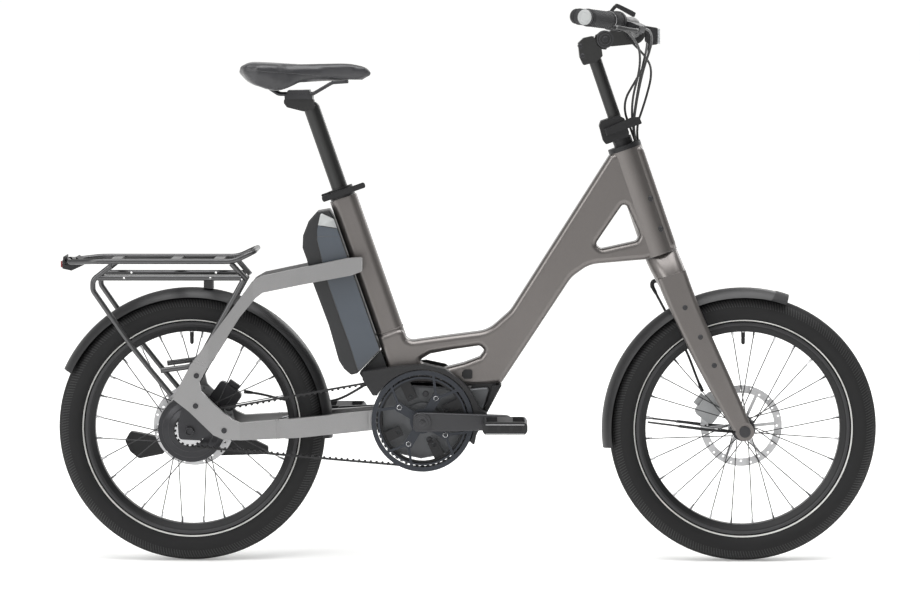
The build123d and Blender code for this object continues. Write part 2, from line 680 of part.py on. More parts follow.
def pedal(side):
    """Platform pedal: a spindle boss in an open cage with tread bars."""
    direction = -side
    length, depth, width = 86.0, 24.0, 92.0
    start = 90.0
    cage = Pos(0, start + width / 2, 0) * Box(length, width, depth)
    cage = fillet(cage.edges().filter_by(Axis.Y), 9)
    for place in (-1, 1):
        cage -= Pos(place * 26, start + width / 2, 0) * Box(22, width - 16, depth + 2)
        for slot in (-2, -1, 0, 1, 2):
            cage -= Pos(place * 43, start + width / 2 + slot * 17, 0) * Box(20, 12, 10)
    spindle = cross_cylinder(6.2, 74, start + 1)
    body = (cage + spindle)
    body = Pos(BRACKET_X + direction * CRANK_LENGTH, 0, BRACKET_HEIGHT) * body
    return body if side > 0 else mirrored(body)


# Rack, fenders and stand


def rack():
    """Top rail loop with its cross plates, and a tube frame on each side."""
    half = RACK_HALF_WIDTH
    rails = [
        (-778, 14, 590), (-772, 40, 588), (-722, half, RACK_TOP_Z), (-452, half, RACK_TOP_Z), (-412,
            half - 4, 611),
        (-412, -half + 4, 611), (-452, -half, RACK_TOP_Z), (-722, -half, RACK_TOP_Z), (-772, -40, 588),
        (-778, -14, 590),
    ]
    top = bent_tube(rails, RACK_TUBE, [12, 40, 60, 22, 22, 60, 40, 12])
    for x in (-684, -568, -484):
        top += Pos(x, 0, RACK_TOP_Z) * Box(20, 2 * half, 3)
    solids = [top]
    for side in (-1, 1):
        rear_leg = [(-690, half, RACK_TOP_Z - 9.5), (-724, half + 1, 556), (-724, half + 1, 536),
            (-650, half + 2, 428),
                    (-610, half + 3, 377), (-573, half + 3, 332)]
        loop = [(-434, half, 554), (-514, half, 410), (-535, half, 388), (-594, half, 380)]
        rail = rod_between((-715, half, PANNIER_RAIL_Z), (-437, half, PANNIER_RAIL_Z), RACK_TUBE)
        strut = rod_between((-456, half, RACK_TOP_Z - 4), (-428, half - 8, 557), RACK_TUBE)
        frame = bent_tube(rear_leg, RACK_TUBE, [16, 16, 60, 60]) + bent_tube(loop, RACK_TUBE,
            [24, 24]) + rail + strut
        upper = rod_between((-690, half, RACK_TOP_Z - 11), (-690, half, RACK_TOP_Z), 4)
        frame += upper
        for place in (-0.5, 0.5):
            hole = Pos(RACK_HOLE_MIDDLE + place * RACK_HOLE_SPACING, 0, PANNIER_RAIL_Z)
            frame -= hole * cross_cylinder(RACK_HOLE_RADIUS, half - 9, half + 9)
        top += frame if side > 0 else mirrored(frame)
    return top


def tail_light():
    outline = [(-786, 599), (-788, 575), (-770, 571), (-744, 583), (-762, 599)]
    housing = side_slab(outline, -30, 30, 2)
    housing -= Pos(-772, 0, 592) * Box(22, 70, 20)
    lens = Pos(-790 - GAP, 0, 583) * Box(3, 44, 12)
    return [housing, lens]


def fender(start_angle, end_angle):
    """Thin crowned strip round the wheel, between two angles from forward."""
    edge, top, thick = FENDER_EDGE_RADIUS, FENDER_RADIUS, FENDER_THICKNESS
    half = FENDER_HALF_WIDTH
    section = Wire([
        ThreePointArc((-half, edge), (0, top), (half, edge)),
        Line((half, edge), (half - thick, edge)),
        ThreePointArc((half - thick, edge), (0, top - thick), (-half + thick, edge)),
        Line((-half + thick, edge), (-half, edge)),
    ])
    face = Plane.YZ * make_face(section)
    strip = revolve(face, axis=Axis.Y, revolution_arc=end_angle - start_angle)
    return Rot(Y=90 - end_angle) * strip


def rear_fender():
    strip = REAR_HUB * fender(-4, 155)
    bridge = Pos(REAR_X + 34, 0, TYRE_RADIUS + FENDER_RADIUS + 6) * Box(18, 30, 20)
    return [strip, bridge - REAR_HUB * cross_cylinder(FENDER_RADIUS + GAP, -60, 60)]


def front_fender():
    """Front strip, its two stay rods and the small bracket under the crown."""
    strip = FRONT_HUB * fender(71.5, 188)
    solids = [strip]
    for side in (-1, 1):
        stay = bent_tube([(352, 34.5, 276), (362, 37, 275), (470, 43, 262), (524, 45.5, 258)], 2.0, 12)
        solids.append(stay if side > 0 else mirrored(stay))
    return solids


def kickstand_mount():
    body = side_slab([(-500, 194), (-396, 197), (-396, 212), (-420, 224), (-452, 226), (-478, 222),
        (-500, 216)], 84, 98, 3)
    foot = side_slab([(-462, 222), (-428, 222), (-432, 246), (-458, 246)], 84, 92, 1)
    bridge = Pos(-445, (80 + 92) / 2 + GAP / 2, 238) * Box(20, 12 - GAP, 14)
    hole = Pos(-484, 0, 208) * cross_cylinder(4 + GAP, 70, 120)
    return body + foot + bridge - hole


def kickstand_leg():
    """Stowed stand: a flattened leg pointing rearward with a wide rubber foot."""
    leg = side_slab([(-484, 218), (-474, 208), (-484, 198), (-560, 202), (-640, 208), (-640, 220),
        (-560, 217)], 98 + GAP, 110, 3)
    pin = Pos(-484, 0, 208) * cross_cylinder(4, 80, 110)
    foot = side_slab([(-604, 196), (-602, 226), (-650, 236), (-672, 240), (-682, 222), (-672, 200),
        (-654, 186)], 100, 122, 6)
    return leg + pin + foot


# Brakes


def calliper(centre_x, centre_z, disc_y, lean):
    """Two-piston brake calliper straddling the disc, leaning towards the hub."""
    inner_y = -8.5
    outer_y = 12
    body = Pos(0, (inner_y + outer_y) / 2, 0) * Box(52, outer_y - inner_y, 44)
    body = fillet(body.edges().filter_by(Axis.Y), 9)
    body += Pos(0, 6, 26) * Box(24, 12, 12)
    body = Pos(centre_x, disc_y, centre_z) * Rot(Y=lean) * body
    slot = cross_cylinder(ROTOR_RADIUS + 3, disc_y - 3, disc_y + 3)
    return body, slot


def rear_calliper():
    body, slot = calliper(-476, 318, REAR_ROTOR_Y, 35)
    return body - REAR_HUB * slot


def front_calliper():
    body, slot = calliper(478, 296, FRONT_ROTOR_Y, -52)
    return body - FRONT_HUB * slot


def rear_hose_points():
    return [
        (-440, 47, 326), (-408, 50, 322), (-364, 52, 309), (-308, 49, 304), (-262, 43, 308), (-228, 37, 324),
        (-193.4, 37, 346.2),
    ]


def front_hose_points():
    return [(463, 50, 328), (451, 56, 356), (436, 62, 398), (412, 66, 446), (386, 66, 492), (366, 60, 530)]


# Seat


def seat_collar():
    """Clamp ring with its rear lug, split where it pinches the seat tube."""
    ring = axis_ring(25, POST_RADIUS + 3 + GAP, 1, 20)
    ring += Pos(-31, 0, 12) * Box(14, 26, 15)
    ring -= Pos(-28, 0, 11) * Box(24, 3, 24)
    return SEAT * (ring - axis_rod(POST_RADIUS + 3 + GAP, 0, 30))


def seat_lever():
    """Quick-release lever lying along the right of the collar."""
    arm = Pos(6, -31, 11) * Box(88, 6, 11)
    arm = fillet(arm.edges().filter_by(Axis.Y), 4)
    arm += Pos(-33, -24, 11) * Box(8, 12, 11)
    arm += Pos(-33, -18, 0) * axis_rod(4, 5.5, 16.5)
    return SEAT * arm


def seat_post():
    """Post with the cradle that carries the saddle rails."""
    tube = axis_ring(POST_RADIUS, POST_RADIUS - 2.5, -POST_INSERTED, SEAT_POST_SHOWN - 4)
    neck = Pos(0, 0, SEAT_POST_SHOWN - 8) * Sphere(POST_RADIUS)
    post = SEAT * (tube + neck)
    cradle = side_slab([(-356, 896), (-350, 888), (-318, 880), (-296, 886), (-298, 904), (-356, 904)],
        -17, 17, 3)
    return post + cradle


def rail_points():
    return [(-404, 26, 934), (-384, 26, 926), (-366, 24, 914 - GAP), (-300, 24, 914 - GAP),
        (-262, 16, 936), (-232, 12, 938)]


def saddle_rails():
    """Two steel rails and the clamp plates that hold them in the cradle."""
    rail = bent_tube(rail_points(), 3.5, [14, 14, 18, 18])
    lower = side_slab([(-354, 904 + GAP), (-300, 904 + GAP), (-300, 914), (-354, 914)], -29, 29)
    upper = side_slab([(-350, 914 + GAP), (-304, 914 + GAP), (-306, 922), (-348, 921)], -29, 29)
    groove = bent_tube(rail_points(), 3.5 + GAP, [14, 14, 18, 18])
    solids = [rail, mirrored(rail)]
    for plate in (lower, upper):
        solids.append(plate - groove - mirrored(groove))
    return solids


def saddle_plan(inset):
    half = [
        (-444 + inset, 0), (-442 + inset, 40), (-430 + inset, 66 - inset), (-404, 78 - inset), (-372,
            74 - inset),
        (-330, 46 - inset), (-284, 26 - inset), (-224, 20 - inset), (-196 - inset, 14 - inset),
        (-184 - inset, 4),
    ]
    return half + [(x, -y) for x, y in reversed(half) if y > 0]


def saddle_base():
    """Moulded shell under the padding, with seats for the rails."""
    side = [(-434, 948), (-410, 934), (-386, 931), (-330, 940), (-276, 943), (-200, 944), (-200, 946),
        (-330, 944), (-410, 950)]
    shell = two_view(side, saddle_plan(7))
    groove = bent_tube(rail_points(), 3.5 + GAP, [14, 14, 18, 18])
    return shell - groove - mirrored(groove)


def saddle_cover():
    """Padded top, wide at the back and narrow at the nose."""
    side = [
        (-444, 955), (-438, 970), (-422, 972), (-325, 967), (-228, 970), (-199, 966), (-187, 958),
        (-183, 948),
        (-200, 946.5), (-330, 944.5), (-410, 950.5), (-434, 950.5),
    ]
    return two_view(side, saddle_plan(0))


# Fork


def fork_section(x, y, z, deep, thick):
    """Rounded section of a blade, square to the steering axis."""
    plane = Plane(HEAD.from_local_coords(Vector(x, y, z)), x_dir=HEAD.x_dir, z_dir=HEAD.z_dir)
    return plane * RectangleRounded(deep, thick, min(deep, thick) * 0.45)


def fork():
    """Steerer, crown and two broad blades."""
    crown_top = -HEAD_LENGTH - 2
    steerer = axis_ring(STEERER_RADIUS, MAST_RADIUS + FIT, crown_top - 20, 18)
    crown = loft([fork_section(0, 0, crown_top, 64, 50), fork_section(3, 0, crown_top - 36, 62, 96),
                  fork_section(6, 0, crown_top - 62, 58, 112)])
    body = HEAD * steerer + crown
    tip_z = (TYRE_RADIUS - HEAD_TOP_Z) * HEAD_COS - (FRONT_X - HEAD_TOP_X) * HEAD_SIN
    tip_x = (FRONT_X - HEAD_TOP_X) * HEAD_COS + (TYRE_RADIUS - HEAD_TOP_Z) * HEAD_SIN
    blade = loft([
        fork_section(5, 46, crown_top - 40, 58, 18), fork_section(10, 50, crown_top - 130, 54, 18),
        fork_section(22, 55, crown_top - 240, 49, 17), fork_section(tip_x - 3, 59, tip_z + 8, 36, 15.5),
    ])
    tip = FRONT_HUB * cross_cylinder(18, 51, 67)
    side = blade + tip
    body += side + mirrored(side)
    wheel_room = FRONT_HUB * cross_cylinder(FENDER_RADIUS + 4, -FENDER_HALF_WIDTH - 3, FENDER_HALF_WIDTH + 3)
    body -= wheel_room
    body -= HEAD * axis_rod(MAST_RADIUS + FIT, crown_top - 70, crown_top + 1)
    body -= FRONT_HUB * cross_cylinder(AXLE_RADIUS + GAP, -90, 90)
    return body


def fork_axle():
    """Front axle with its head, and the three small screws in each blade."""
    axle = FRONT_HUB * (cross_cylinder(AXLE_RADIUS, -67, 67) + cross_cylinder(11, -71, -67 - GAP))
    axle += FRONT_HUB * cross_cylinder(AXLE_RADIUS, -70, -60)
    return axle


def headset():
    """Two bearings in the head tube and the dust cover under it."""
    upper = axis_ring(BEARING_RADIUS, STEERER_RADIUS + FIT, -11.5, 0)
    lower = axis_ring(BEARING_RADIUS, STEERER_RADIUS + FIT, -HEAD_LENGTH, -HEAD_LENGTH + 11.5)
    return [HEAD * upper, HEAD * lower]


# Cockpit


def stem_collar():
    """Cable port disc and the clamp block that frees the mast to slide and turn."""
    disc = axis_ring(HEAD_DEPTH / 2, STEERER_RADIUS + FIT, GAP, 9)
    disc -= Pos(14, 0, 5) * Box(30, 50, 12) & axis_ring(28.5, 20.4, -5, 20)
    neck = axis_ring(19, STEERER_RADIUS + FIT, 9, 24)
    block = side_block([(-36, 30), (-33, 22), (14, 22), (17, 30), (17, 58), (8, 68), (-28, 68),
        (-34, 60)], -24, 24)
    block = block - axis_rod(MAST_RADIUS + FIT, 0, 90) - axis_rod(STEERER_RADIUS + FIT, 0, 22)
    slot = Pos(-26, 0, 45) * Box(30, 3, 60)
    return HEAD * ((disc + neck + block) - slot)


def side_block(points, low_y, high_y, rounding=3.0):
    """Block with a side outline in a local frame."""
    return side_slab(points, low_y, high_y, rounding)


def stem_lever():
    """Quick-release lever on a round pivot at the block's rear corner."""
    low_y = -LEVER_PIVOT_Y - LEVER_PIVOT_RADIUS
    high_y = -LEVER_PIVOT_Y + LEVER_PIVOT_RADIUS
    rear = LEVER_PIVOT_X
    arm = side_block([(rear, 38), (rear, 52), (30, 56), (45, 52), (46, 38)], low_y, high_y, 2)
    pivot = Pos(rear, -LEVER_PIVOT_Y, 0) * axis_rod(LEVER_PIVOT_RADIUS, 38, 52)
    return HEAD * (arm + pivot)


def mast():
    return HEAD * axis_ring(MAST_RADIUS, MAST_RADIUS - 2.2, -140, 208)


def pivot_place():
    return (31.0, 215.0)


def stem_head():
    """Clamp on the mast's top, with the tongue and pin of the tilting joint."""
    x, z = pivot_place()
    block = side_block([(-25, 181), (-27, 198), (-21, 225), (-8, 231), (10, 229), (20, 206), (16, 186),
        (0, 179)], -23, 23)
    tongue = side_block([(0, 190), (24, 192), (30, 199), (44, 206), (46, 218), (38, 230), (24, 230),
        (0, 226)], -13, 13, 3)
    tongue &= Pos(0, 0, 0) * (side_block([(-5, 170), (12, 170), (12, 240), (-5, 240)], -30, 30,
        0) + Pos(x, 0, z) * cross_cylinder(20, -30, 30))
    body = block - Pos(x, 0, z) * cross_cylinder(18.5, -40, 40) + tongue
    body -= axis_rod(MAST_RADIUS + FIT, 150, 208 + GAP)
    body -= Pos(x, 0, z) * cross_cylinder(5 + FIT, -40, 40)
    pin = Pos(x, 0, z) * cross_cylinder(5, -13.2, 13.2)
    return [HEAD * body, HEAD * pin]


def bar_centre():
    return (322.0, 1032.0)


def bar_clamp():
    """Two ears round the tilting pivot and the clamp round the bar."""
    px, pz = head_point(*pivot_place())
    bx, bz = bar_centre()
    ears = Pos(px, 0, pz) * cross_cylinder(17, -24, 24)
    link = side_slab([(px + 8, pz + 15), (px + 10, pz - 14), (bx - 4, bz - 22), (bx + 12, bz - 18),
        (bx + 2, bz + 21)], -24, 24, 3)
    ring = Pos(bx, 0, bz) * cross_cylinder(22, -24, 24)
    body = ears + link + ring
    body -= Pos(px, 0, pz) * cross_cylinder(21, -13.6, 13.6)
    body -= Pos(bx, 0, bz) * cross_cylinder(15.9 + FIT, -40, 40)
    body -= Pos(px, 0, pz) * cross_cylinder(3.5, 16, 30)
    return body


def bar_points():
    """Centre line of the right half of the bar, from its middle to its end."""
    bx, bz = bar_centre()
    return [(bx, 0, bz), (bx, -60, bz + 2), (bx - 4, -128, bz + 20), (bx - 22, -168, bz + 21),
        (bx - 100, -BAR_HALF_WIDTH, bz + 31)]


def bar_frame(distance):
    """Plane square to the bar's right grip, at a distance from its outer end."""
    corner, end = Vector(*bar_points()[3]), Vector(*bar_points()[4])
    direction = (corner - end).normalized()
    return Plane(end + direction * distance, z_dir=direction)


def handlebar():
    points = bar_points()
    half = bent_tube(points, 11.1, [70, 70, 50])
    half = half & Pos(0, -500, 1000) * Box(2000, 1000, 2000)
    middle = Pos(points[0][0], 0, points[0][2]) * cross_cylinder(15.9, -30, 30)
    return half + mirrored(half) + middle


def grip_ring(outer, start, end):
    frame = bar_frame(start)
    return extrude(frame * Circle(outer), amount=end - start) - extrude(frame * Circle(11.1 + FIT),
        amount=end - start)


def grips():
    """Rubber grips with a light end plug; the right one is shorter, to leave room for the twist shifter."""
    right = grip_ring(16, 2, 92)
    left = mirrored(grip_ring(16, 2, 128))
    plug = extrude(bar_frame(-6) * Circle(15.5), amount=6 - GAP)
    return [right, left, plug, mirrored(plug)]


def twist_shifter():
    sleeve = grip_ring(18, 92 + GAP, 124) + grip_ring(19.5, 120, 128)
    return sleeve


def lever_frame():
    """Frame at the right brake lever's clamp: z along the bar, x towards the lever's reach."""
    base = bar_frame(138)
    ahead = Vector(1, 0, -0.35)
    x_dir = (ahead - base.z_dir * ahead.dot(base.z_dir)).normalized()
    return Plane(base.origin, x_dir=x_dir, z_dir=base.z_dir)


def lever_body():
    """Clamp, master cylinder and pivot fork of one brake lever."""
    frame = lever_frame()
    clamp = axis_ring(17, 11.1 + FIT, -7, 7)
    cylinder = Pos(27, 0, 14) * Box(20, 16, 44)
    cylinder = fillet(cylinder.edges().filter_by(Axis.Z), 5)
    neck = Pos(17, 0, 0) * Box(14, 14, 14)
    fork_ends = Pos(38, 0, 2) * Box(14, 16, 20) - Pos(40, 0, -2) * Box(20, 2 * LEVER_HALF + 2 * GAP, 40)
    body = clamp + cylinder + neck - axis_rod(11.1 + FIT, -30, 40)
    body -= Pos(40, 0, -2) * cross_cylinder(LEVER_EYE + 1, -LEVER_HALF - GAP, LEVER_HALF + GAP)
    return frame * (body + fork_ends)


def lever_pivot():
    """Place and axis of the right brake lever's pivot."""
    frame = lever_frame()
    return frame.from_local_coords(Vector(40, 0, -2)), frame.y_dir


def brake_lever():
    """Two-finger blade along the grip, with its pivot eye."""
    points = [(40, 0, -2), (52, 0, -30), (50, 0, -66), (45, 0, -100), (49, 0, -112)]
    blade = bent_tube(points, 4.0, [10, 20, 12])
    flat = Pos(45, 0, -60) * Box(60, 2 * LEVER_HALF, 140)
    eye = Pos(40, 0, -2) * cross_cylinder(LEVER_EYE, -LEVER_HALF, LEVER_HALF)
    tip = Pos(49, 0, -112) * Sphere(4.5)
    return lever_frame() * ((blade & flat) + eye + tip)


def display():
    """Small screen plate on a bent bracket above the bar clamp."""
    plate = side_slab([(284, 1084), (289, 1089), (326, 1071), (323, 1062)], -26, 26, 2)
    arm = side_slab([(272, 1070), (284, 1085), (291, 1083), (279, 1069), (285, 1061), (278, 1057)], -8, 8)
    foot = side_slab([(278, 1058), (282, 1061), (306, 1052), (316, 1055), (318, 1054 + GAP),
        (300, 1048)], -8, 8)
    return plate + arm + foot


def headlight():
    """Lamp body with its lens, hung on an arm ahead of the bar clamp."""
    bx, bz = bar_centre()
    body = side_slab([(344, 1046), (368, 1042), (368, 1010), (352, 1008), (345, 1016)], -22, 22, 3)
    arm = side_slab([(bx + 21, bz + 6), (346, 1040), (346, 1024), (bx + 23, bz - 8)], -8, 8)
    lens = side_slab([(368 + GAP, 1041), (373, 1040), (373, 1011), (368 + GAP, 1011)], -20, 20)
    return [body + arm, lens]


def cable_routes():
    """Five cables: out of the levers and shifter, down past the mast into the port disc."""
    return {
        "right_brake": [(329.8, -166.9, 1042.7), (344.4, -141.2, 1040.8), (354, -100, 1028), (354, -58, 1006),
                        (340, -24, 960), (328, -16, 900), (320, -12, 834.1), (340.2, -12, 775.4)],
        "left_brake": [(329.8, 166.9, 1042.7), (344.4, 141.2, 1040.8), (352, 98, 1030), (352, 54, 1006),
                       (340, 18, 964), (328, 12, 899), (320, 12, 834.1), (340.2, 12, 775.4)],
        "shifter": [(289.2, -177.2, 1040.8), (302.3, -154.1, 1039.1), (318, -114, 1022), (332, -70, 1002),
                    (334, -30, 962), (318, -10, 898.5), (322.3, -6, 834.9), (342.5, -6, 776.2)],
        "lamp": [(354, 4, 1007.5), (352, 5, 984), (330, 9, 944), (300, 8, 893), (322.3, 6, 834.9),
            (342.5, 6, 776.2)],
        "display": [(289.2, 177.2, 1040.8), (302.3, 154.1, 1039.1), (322, 112, 1014), (346, 70, 990),
                    (362, 26, 960), (346, 0, 900), (323.2, 0, 835.2), (343.4, 0, 776.6)],
    }


# Writing the nodes

os.makedirs("parts", exist_ok=True)

for place, hub in (("front", FRONT_HUB), ("rear", REAR_HUB)):
    write(place + "_tyre", hub * tyre())
    write(place + "_rim", hub * rim(), hub * valve())
write("front_spokes", *[FRONT_HUB * rod for rod in spokes(24, 26, 26)])
write("rear_spokes", *[REAR_HUB * rod for rod in spokes(REAR_SHELL_RADIUS + 1, 24, 16)])
write("front_hub", FRONT_HUB * front_hub())
write("rear_hub", REAR_HUB * rear_hub())
write("front_rotor", FRONT_HUB * Pos(0, FRONT_ROTOR_Y, 0) * rotor(13 + GAP))
write("rear_rotor", REAR_HUB * Pos(0, REAR_ROTOR_Y, 0) * rotor(AXLE_RADIUS + GAP))
sprocket = toothed_ring(REAR_TEETH, REAR_PITCH_RADIUS, AXLE_RADIUS + FIT, BELT_WIDTH / 2)
write("rear_sprocket", REAR_HUB * Pos(0, BELT_Y, 0) * sprocket)
write("belt", belt())
write("front_frame", front_frame())
write("seat_tube", seat_tube())
write("rear_stays", stay_side(1), stay_side(-1))
write("axle_hardware", *axle_hardware())
write("battery_case", battery_case())
write("battery_panels", *battery_panels())
write("battery_mount", battery_mount())
write("motor_unit", motor_unit())
write("motor_covers", *motor_covers())
write("charge_port_cap", charge_port_cap())
write("crank_arms", *crank_arms())
write("crank_spider", *crank_spider())
write("belt_ring", belt_ring())
write("pedal_right", pedal(-1))
write("pedal_left", pedal(1))
write("rack", rack())
write("tail_light", *tail_light())
write("rear_fender", *rear_fender())
write("front_fender", *front_fender())
write("kickstand_mount", kickstand_mount())
write("kickstand_leg", kickstand_leg())
write("rear_calliper", rear_calliper())
write("front_calliper", front_calliper())
write("rear_brake_hose", cord("rear_brake_hose", rear_hose_points(), HOSE_RADIUS))
write("front_brake_hose", cord("front_brake_hose", front_hose_points(), HOSE_RADIUS))
write("seat_collar", seat_collar())
write("seat_lever", seat_lever())
write("seat_post", seat_post())
write("saddle_rails", *saddle_rails())
write("saddle_base", saddle_base())
write("saddle_cover", saddle_cover())
write("fork", fork())
write("fork_axle", fork_axle())
write("headset", *headset())
write("stem_collar", stem_collar())
write("stem_lever", stem_lever())
write("mast", mast())
write("stem_head", *stem_head())
write("bar_clamp", bar_clamp())
write("handlebar", handlebar())
write("grips", *grips())
write("twist_shifter", twist_shifter())
write("lever_bodies", lever_body(), mirrored(lever_body()))
write("brake_lever_right", brake_lever())
write("brake_lever_left", mirrored(brake_lever()))
write("display", display())
write("headlight", *headlight())
write("control_cables", *[cord(name, points, CABLE_RADIUS) for name, points in cable_routes().items()])
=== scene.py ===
import json
import math
import bmesh
import bpy
import numpy as np
from mathutils import Matrix, Vector


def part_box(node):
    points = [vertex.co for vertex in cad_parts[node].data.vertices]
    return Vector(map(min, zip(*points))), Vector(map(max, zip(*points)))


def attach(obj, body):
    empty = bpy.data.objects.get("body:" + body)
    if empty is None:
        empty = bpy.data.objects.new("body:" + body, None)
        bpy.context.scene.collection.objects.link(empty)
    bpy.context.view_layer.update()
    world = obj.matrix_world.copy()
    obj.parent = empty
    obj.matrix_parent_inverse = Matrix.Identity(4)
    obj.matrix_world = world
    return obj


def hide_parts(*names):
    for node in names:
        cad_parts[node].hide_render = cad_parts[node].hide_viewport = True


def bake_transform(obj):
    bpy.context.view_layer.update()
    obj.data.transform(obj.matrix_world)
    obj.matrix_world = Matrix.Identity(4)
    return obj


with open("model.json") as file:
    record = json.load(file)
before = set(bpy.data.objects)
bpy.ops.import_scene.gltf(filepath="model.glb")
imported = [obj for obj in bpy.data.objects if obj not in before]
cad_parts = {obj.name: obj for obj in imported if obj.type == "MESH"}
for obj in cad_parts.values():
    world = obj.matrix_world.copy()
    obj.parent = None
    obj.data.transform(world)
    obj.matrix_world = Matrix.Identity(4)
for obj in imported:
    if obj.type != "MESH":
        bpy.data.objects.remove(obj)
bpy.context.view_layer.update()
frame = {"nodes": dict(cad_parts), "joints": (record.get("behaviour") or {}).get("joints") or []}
scene = bpy.context.scene
joints = {joint["name"]: joint for joint in frame["joints"]}


def spot(name):
    return Vector(joints[name]["pos_m"])


def lineOf(name):
    return Vector(joints[name]["axis"]).normalized()


def placeAt(origin, upward, ahead=None):
    # a frame whose Z runs along upward and whose X points as near ahead as it can
    up = Vector(upward).normalized()
    guide = Vector(ahead) if ahead is not None else Vector((0, 0, 1))
    if guide.cross(up).length < 1e-4:
        guide = Vector((1, 0, 0))
    side = up.cross(guide).normalized()
    forward = side.cross(up)
    turn = Matrix((forward, side, up)).transposed().to_4x4()
    return Matrix.Translation(Vector(origin)) @ turn


across = Vector((0, 1, 0))
frontWheel = spot("front_wheel_spin")
rearWheel = spot("rear_wheel_spin")
crankSpot = spot("crank_spin")
seatUp = lineOf("seat_height")
seatAhead = across.cross(seatUp)
leverSpot = spot("seat_lever_swing")
seatTop = Vector((leverSpot.x, 0, leverSpot.z)) + seatAhead * 0.033 - seatUp * 0.011
seatPlace = placeAt(seatTop, seatUp, seatAhead)


def addObject(name, data):
    thing = bpy.data.objects.new(name, data)
    scene.collection.objects.link(thing)
    return thing


# camera, light and floor

cameraLook = {"place": (0.0435, -6.8, 1.0837), "down": 0.0862, "turn": 0.0085, "lens": 136.66}


def makeCamera():
    look = bpy.data.cameras.new("camera")
    look.lens = cameraLook["lens"]
    look.sensor_width = 36
    look.clip_end = 200
    camera = addObject("camera", look)
    down, turn = cameraLook["down"], cameraLook["turn"]
    ahead = Vector((-math.sin(turn) * math.cos(down), math.cos(turn) * math.cos(down), -math.sin(down)))
    camera.location = cameraLook["place"]
    camera.rotation_euler = ahead.to_track_quat("-Z", "Y").to_euler()
    scene.camera = camera


def makeLight(name, place, target, size, watts):
    lamp = bpy.data.lights.new(name, "AREA")
    lamp.shape = "RECTANGLE"
    lamp.size, lamp.size_y = size
    lamp.energy = watts
    holder = addObject(name, lamp)
    holder.location = place
    holder.rotation_euler = (Vector(target) - Vector(place)).to_track_quat("-Z", "Y").to_euler()


# node graphs

class Wire:
    # one output socket, with sums written as plain Python
    def __init__(self, graph, socket):
        self.graph, self.socket = graph, socket

    def math(self, operation, *others, clamp=False):
        settings = {"operation": operation, "use_clamp": clamp}
        return self.graph.node("ShaderNodeMath", settings, dict(enumerate([self, *others])))[0]

    def __add__(self, other):
        return self.math("ADD", other)

    def __sub__(self, other):
        return self.math("SUBTRACT", other)

    def __rsub__(self, other):
        return (self * -1.0) + other

    def __mul__(self, other):
        return self.math("MULTIPLY", other)

    def __truediv__(self, other):
        return self.math("DIVIDE", other)

    def __pow__(self, other):
        return self.math("POWER", other)

    def clamped(self):
        return self.math("ADD", 0.0, clamp=True)

    def above(self, level, soft):
        # 0 below level, 1 above it, over a band as wide as soft
        return ((self - level) / soft + 0.5).clamped()


class Graph:
    def __init__(self, tree, prefix):
        self.tree, self.prefix = tree, prefix

    def feed(self, socket, value):
        if isinstance(value, Wire):
            self.tree.links.new(value.socket, socket)
        else:
            socket.default_value = value

    def node(self, kind, settings=None, sockets=None):
        known = kind.startswith(("Geometry", "Function", "Shader", "Node"))
        made = self.tree.nodes.new(kind if known else self.prefix + kind)
        for key, value in (settings or {}).items():
            if key == "stops":
                ramp = made.color_ramp
                while len(ramp.elements) < len(value):
                    ramp.elements.new(0.5)
                for element, (position, colour) in zip(ramp.elements, value):
                    element.position, element.color = position, (*colour, 1)
            else:
                setattr(made, key, value)
        for key, value in (sockets or {}).items():
            self.feed(made.inputs[key], value)
        return [Wire(self, socket) for socket in made.outputs]


class Finish(Graph):
    # one material around a Principled shader
    def __init__(self, name):
        self.material = bpy.data.materials.new(name)
        self.material.use_nodes = True
        super().__init__(self.material.node_tree, "ShaderNode")
        self.tree.nodes.clear()
        self.place = self.node("TexCoord")[3]

    def moved(self, centre):
        return self.node("Mapping", {"vector_type": "TEXTURE"}, {"Vector": self.place, "Location": centre})[0]

    def noise(self, scale, detail=2.0, roughness=0.5, stretch=None):
        place = self.place
        if stretch:
            place = self.node("VectorMath", {"operation": "MULTIPLY"}, {0: place, 1: stretch})[0]
        return self.node("TexNoise", {}, {"Vector": place, "Scale": scale, "Detail": detail, "Roughness": roughness})[0]

    def grains(self, scale):
        return self.node("TexVoronoi", {}, {"Vector": self.place, "Scale": scale})[0]

    def mix(self, factor, low, high):
        low, high = (tone if isinstance(tone, Wire) else (*tone, 1) for tone in (low, high))
        return self.node("Mix", {"data_type": "RGBA"}, {0: factor, 6: low, 7: high})[2]

    def parts(self, vector):
        return self.node("SeparateXYZ", {}, {0: vector})

    def bump(self, height, strength, distance, under=None):
        sockets = {"Height": height, "Strength": strength, "Distance": distance}
        if under:
            sockets["Normal"] = under
        return self.node("Bump", {}, sockets)[0]

    def close(self, colour, roughness, normal=None, **fixed):
        sockets = {"Base Color": colour if isinstance(colour, Wire) else (*colour, 1), "Roughness": roughness}
        if normal:
            sockets["Normal"] = normal
        for key, value in fixed.items():
            sockets[key.replace("_", " ")] = value
        shader = self.node("BsdfPrincipled", {}, sockets)[0]
        self.node("OutputMaterial", {}, {"Surface": shader})
        return self.material


def paint(name, look):
    # metallic paint: fine flakes, slow tone drift and a light orange peel
    f = Finish(name)
    flakes = f.noise(look["flakeScale"], 1.0)
    drift = f.noise(5.0, 2.0)
    base = Vector(look["colour"])
    tone = f.mix(drift.above(0.5, 0.5), base * 0.95, base * 1.05)
    tone = f.mix(flakes.above(0.55, 0.25) * look["flakes"], tone, base * 1.45)
    dust = f.noise(38.0, 5.0, 0.65)
    rough = dust * look["drift"] + (look["roughness"] - look["drift"] / 2)
    peel = f.bump(f.noise(look["peelScale"], 1.0), look["peel"], 0.0004)
    return f.close(tone, rough, peel, Metallic=look["metallic"], Coat_Weight=look["coat"], Coat_Roughness=0.22)


